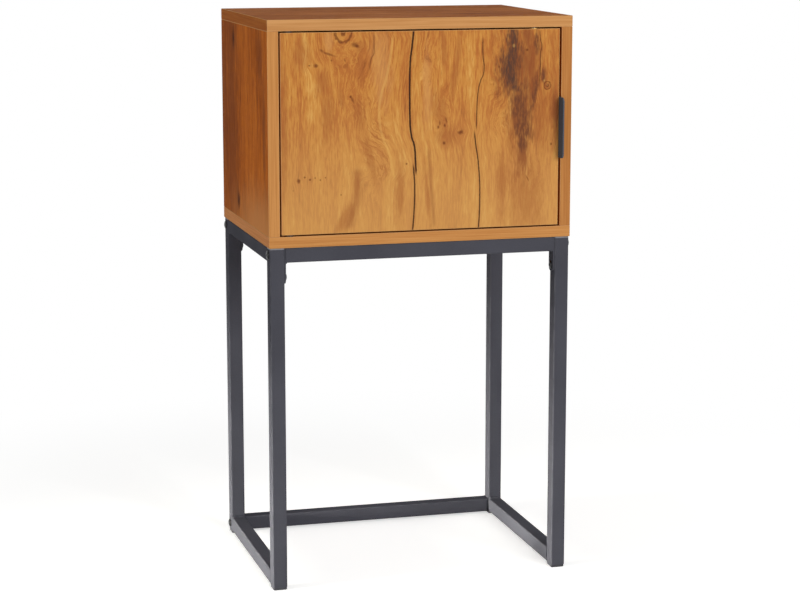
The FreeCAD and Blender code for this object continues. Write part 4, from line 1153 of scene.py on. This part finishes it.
COAT_GLOSS = 0.001
CORNER_HIGHLIGHT_AMOUNT = 0.5
SPECKLE_SMOOTHER = -0.10
coats = {
    "frame_powder_coat": Finish(paint(82, 82, 90), paint(70, 70, 77), 0.52, (
        "front_left_leg", "front_right_leg", "rear_left_leg", "rear_right_leg",
        "left_upper_rail", "left_lower_rail", "right_upper_rail", "right_lower_rail",
        "front_upper_rail", "rear_upper_rail", "rear_lower_rail",
        "upper_rail_end_plates", "lower_rail_end_plates"), corner=paint(108, 108, 114)),
    # painted light: the pull's coat is lighter and bluer than the frame's, against the shade on its side
    "pull_coat_painted_light": Finish(paint(86, 92, 101), paint(76, 82, 91), 0.52, ("door_pull",),
                               corner=paint(106, 111, 119)),
}
for name, coat in coats.items():
    w, coordinates = new_material(name)
    peel = w.use(orange_peel, {"Place": coordinates["Object"]})
    corner_highlight_mask = w.use(painted_corner_highlight, {"Facing": coordinates["Normal"], "Place": coordinates["Object"]})
    colour = w.mix(peel["Speckle"], coat.deep, coat.light)
    # painted highlight: the rounded corners are mixed towards a lighter grey
    colour = w.mix(w.times(corner_highlight_mask["Mask"], CORNER_HIGHLIGHT_AMOUNT), colour, coat.corner)
    w.shade(Base_Color=colour, Specular_IOR_Level=COAT_GLOSS,
            Roughness=w.times_plus(peel["Speckle"], SPECKLE_SMOOTHER, coat.roughness),
            Normal=w.bump(peel["Relief"], strength=0.25, distance=0.08 * MM))
    dress(name, *coat.nodes)

# %% [markdown]
# The fasteners are bare metal in three finishes: black bolts, bright zinc and brass. Turned and
# tumbled metal has fine scratches every way and dull clouds, so one group makes both, and each
# finish sets its own colours. The black bolts are also oiled, and the shader's coat is that film:
# it gives each domed head its small bright glint.

# %% Bare metals
w = Group("tumbled_metal", {"Place": VECTOR}, numbers("Cloud", "Scratch"))
clouds = w.fade(w.noise(w.given["Place"], detail=3, scale=420.0), 0.3, 0.7)
scratches = w.noise(w.stretched(w.given["Place"], 5200, 700, 2600), detail=3)
tumbled_metal = w.close(Cloud=clouds, Scratch=scratches)

OIL_ROUGHNESS = 0.12
SCRATCH_ROUGHER = 0.22
SMOOTHEST = -0.08  # how much a spot without scratches differs from the finish
metals = {
    "black_bolt": Finish(paint(38, 38, 40), paint(22, 22, 24), 0.40,
                         ("frame_bolts", "tab_screws", "cabinet_bolts"), metallic=0.85, oiled=0.20),
    "bright_zinc": Finish(paint(206, 206, 204), paint(160, 162, 164), 0.32, (
        "cam_locks", "cam_bolts", "catch_strike_screws", "door_pull_screws",
        "pivot_pins", "catch_spring", "weld_nuts", "threaded_inserts")),
    "brass": Finish(paint(222, 184, 106), paint(184, 142, 72), 0.26, ("catch_barrel", "catch_strike")),
}
for name, finish in metals.items():
    w, coordinates = new_material(name)
    wear = w.use(tumbled_metal, {"Place": coordinates["Object"]})
    w.shade(Base_Color=w.mix(wear["Cloud"], finish.deep, finish.light), Metallic=finish.metallic,
            Roughness=w.times_plus(wear["Scratch"], SCRATCH_ROUGHER, finish.roughness + SMOOTHEST),
            Coat_Weight=finish.oiled, Coat_Roughness=OIL_ROUGHNESS,
            Normal=w.bump(wear["Scratch"], strength=0.12, distance=0.03 * MM))
    dress(name, *finish.nodes)

# %% [markdown]
# The pivot bushes are moulded black plastic, and the feet a dark grey near that of the frame. The
# caps on the legs are painted a lighter grey, a painted highlight on their top rims, which shows as
# a thin line under the cabinet, and the catch's ball is pale nylon. A mould leaves a fine, even grain,
# which is the powder coat's texture at a smaller size, so the same group serves with scaled coordinates.

# %% Moulded plastics
MOULD_SCALE = (1.8, 1.8, 1.8)
PLASTIC_GLOSS = 0.04
GRAIN_ROUGHER = 0.12
plastics = {
    "black_plastic": Finish(paint(58, 58, 61), paint(44, 44, 47), 0.50,
                            ("carcass_pivot_bushes", "door_pivot_bushes")),
    "dark_grey_plastic": Finish(paint(78, 78, 83), paint(66, 66, 71), 0.50, ("foot_caps",)),
    # painted highlight: the leg caps' light grey stands for light caught on their top rims
    "grey_plastic": Finish(paint(140, 140, 144), paint(124, 124, 128), 0.50, ("leg_top_caps",)),
    "pale_nylon": Finish(paint(232, 226, 210), paint(214, 206, 188), 0.42, ("catch_ball",)),
}
for name, finish in plastics.items():
    w, coordinates = new_material(name)
    peel = w.use(orange_peel, {"Place": w.stretched(coordinates["Object"], *MOULD_SCALE)})
    w.shade(Base_Color=w.mix(peel["Speckle"], finish.deep, finish.light),
            Specular_IOR_Level=PLASTIC_GLOSS,
            Roughness=w.times_plus(peel["Speckle"], GRAIN_ROUGHER,
                                   finish.roughness - GRAIN_ROUGHER / 2),
            Normal=w.bump(peel["Relief"], strength=0.2, distance=0.05 * MM))
    dress(name, *finish.nodes)

# %% [markdown]
# Two kinds of piece are still to be made, a spring and weld beads. Both are long and thin, and both
# are built as a row of rings: each ring is joined to the next with a row of faces, and the two ends
# are closed. So one helper skins them all, and another turns the mesh into a piece of the scene.

# %% Skins over rings
def join_rings(mesh, rings):
    """Joins a row of rings into a closed skin."""
    for near, far in zip(rings, rings[1:]):
        for index in range(len(near)):
            following = (index + 1) % len(near)
            mesh.faces.new((near[index], near[following], far[following], far[index]))
    mesh.faces.new(rings[0])
    mesh.faces.new(reversed(rings[-1]))


def new_piece(name, mesh, material):
    """A smooth piece made from a bmesh, in one material."""
    bmesh.ops.recalc_face_normals(mesh, faces=mesh.faces)
    data = bpy.data.meshes.new(name)
    mesh.to_mesh(data)
    mesh.free()
    data.shade_smooth()
    data.materials.append(materials[material])
    piece = bpy.data.objects.new(name, data)
    scene.collection.objects.link(piece)
    print(name, "with", len(data.polygons), "faces")
    return piece


print("materials to choose from:", len(materials))

# %% [markdown]
# In the door's top edge, a spring pushes the catch's ball up into the strike. The CAD part has a
# plain sleeve for it, because a rigid solid can't shorten. Here it becomes a wire coil in the same
# space. A curve with a round bevel would do, but the ring helper is at hand for the weld beads anyway,
# so the coil is a helix of rings.

# %% The catch's coil spring
COIL_TURNS = 5
RINGS_PER_TURN = 24
WIRE_SIDES = 8
WIRE_RADIUS = 0.28 * MM

low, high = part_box("catch_spring")
foot = Vector(((low.x + high.x) / 2, (low.y + high.y) / 2, low.z))
coil_radius = (high.x - low.x) / 2 - WIRE_RADIUS
coil_rise = high.z - low.z - 2 * WIRE_RADIUS
around = [math.tau * side / WIRE_SIDES for side in range(WIRE_SIDES)]
coil_mesh = bmesh.new()
coil_rings = []
for ring in range(COIL_TURNS * RINGS_PER_TURN + 1):
    share = ring / (COIL_TURNS * RINGS_PER_TURN)
    turn = math.tau * COIL_TURNS * share
    outward = Vector((math.cos(turn), math.sin(turn), 0))
    middle = foot + outward * coil_radius + Vector((0, 0, WIRE_RADIUS + coil_rise * share))
    coil_rings.append([
        coil_mesh.verts.new(middle + (outward * math.cos(a) + Vector((0, 0, math.sin(a)))) * WIRE_RADIUS)
        for a in around])
join_rings(coil_mesh, coil_rings)
catch_coil = new_piece("catch_coil", coil_mesh, "bright_zinc")
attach(catch_coil, "door")
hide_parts("catch_spring")
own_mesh(catch_coil)

# %% [markdown]
# The tubes are welded, and under the paint a bead fills each inner corner. A bead is a slightly
# bulging strip with the ripples that the torch left. It could be a bevelled curve, but the ripples
# need a section that changes along the way, so each bead is a row of rings joined into a skin.

# %% Weld bead mesh
BEAD_SIZE = 2.6 * MM
BEAD_SINK = 0.3 * MM  # how far the bead's back lies inside the steel
BEAD_END = 0.45  # share of the size that is left at a bead's ends
BEAD_TAPER = 5.0  # how fast it grows from there
RIPPLE_PITCH = 1.5 * MM
RIPPLE_DEEP = 0.07
RINGS_PER_RIPPLE = 6
BEAD_STEPS = 6
BEAD_BULGE = 0.22


def add_bead(mesh, start, end, first_side, second_side):
    """Adds one bead along the corner from start to end; the sides point along the two walls."""
    length = (end - start).length
    ring_count = round(length / RIPPLE_PITCH * RINGS_PER_RIPPLE)
    rings = []
    for ring in range(ring_count + 1):
        share = ring / ring_count
        end_taper = min(1.0, BEAD_END + BEAD_TAPER * min(share, 1 - share))
        corner = start.lerp(end, share)
        points = [corner - (first_side + second_side) * BEAD_SINK]
        for step in range(BEAD_STEPS + 1):
            turn = step / BEAD_STEPS
            lag = (turn - 0.5) ** 2 * RIPPLE_PITCH * 2
            phase = math.tau * (share * length + lag) / RIPPLE_PITCH
            size = BEAD_SIZE * end_taper * (1 + RIPPLE_DEEP * math.sin(phase))
            reach = size * (1 + BEAD_BULGE * math.sin(math.pi * turn))
            points.append(corner + (first_side * (1 - turn) + second_side * turn) * reach)
        rings.append([mesh.verts.new(point) for point in points])
    join_rings(mesh, rings)


def bead_object(name, beads):
    """Makes one piece of several beads, painted with the frame and riding on the cabinet."""
    mesh = bmesh.new()
    for bead in beads:
        add_bead(mesh, *bead)
    piece = new_piece(name, mesh, "frame_powder_coat")
    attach(piece, "cabinet")


print("bead:", round(BEAD_SIZE / MM, 1), "mm, a ripple every", round(RIPPLE_PITCH / MM, 1), "mm")

# %% [markdown]
# Each side frame has four welded corners, two under its upper rail and two over its lower rail. The
# end plates of the upper cross rails are welded on below the tube. All the places come from the CAD
# boxes, so the beads stay in their corners if the part is packed at another size.

# %% Weld beads
UP = Vector((0, 0, 1))
BACKWARD = Vector((0, 1, 0))
RIGHT = Vector((1, 0, 0))
TUBE_CORNER = 1.4 * MM  # the bead stops short of the tube's rounded corner

for side in ("left", "right"):
    beads = []
    for level, direction in (("upper", -UP), ("lower", UP)):
        low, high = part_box(f"{side}_{level}_rail")
        height = low.z if level == "upper" else high.z
        for depth, outward in ((low.y, BACKWARD), (high.y, -BACKWARD)):
            start = Vector((low.x + TUBE_CORNER, depth, height))
            end = Vector((high.x - TUBE_CORNER, depth, height))
            beads.append((start, end, direction, outward))
    bead_object(f"{side}_frame_welds", beads)

plate_beads = []
for rail in ("front_upper_rail", "rear_upper_rail"):
    low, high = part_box(rail)
    for end_x, outward in ((low.x, RIGHT), (high.x, -RIGHT)):
        start = Vector((end_x, low.y + 2 * TUBE_CORNER, low.z))
        end = Vector((end_x, high.y - 2 * TUBE_CORNER, low.z))
        plate_beads.append((start, end, -UP, outward))
bead_object("end_plate_welds", plate_beads)

# %% [markdown]
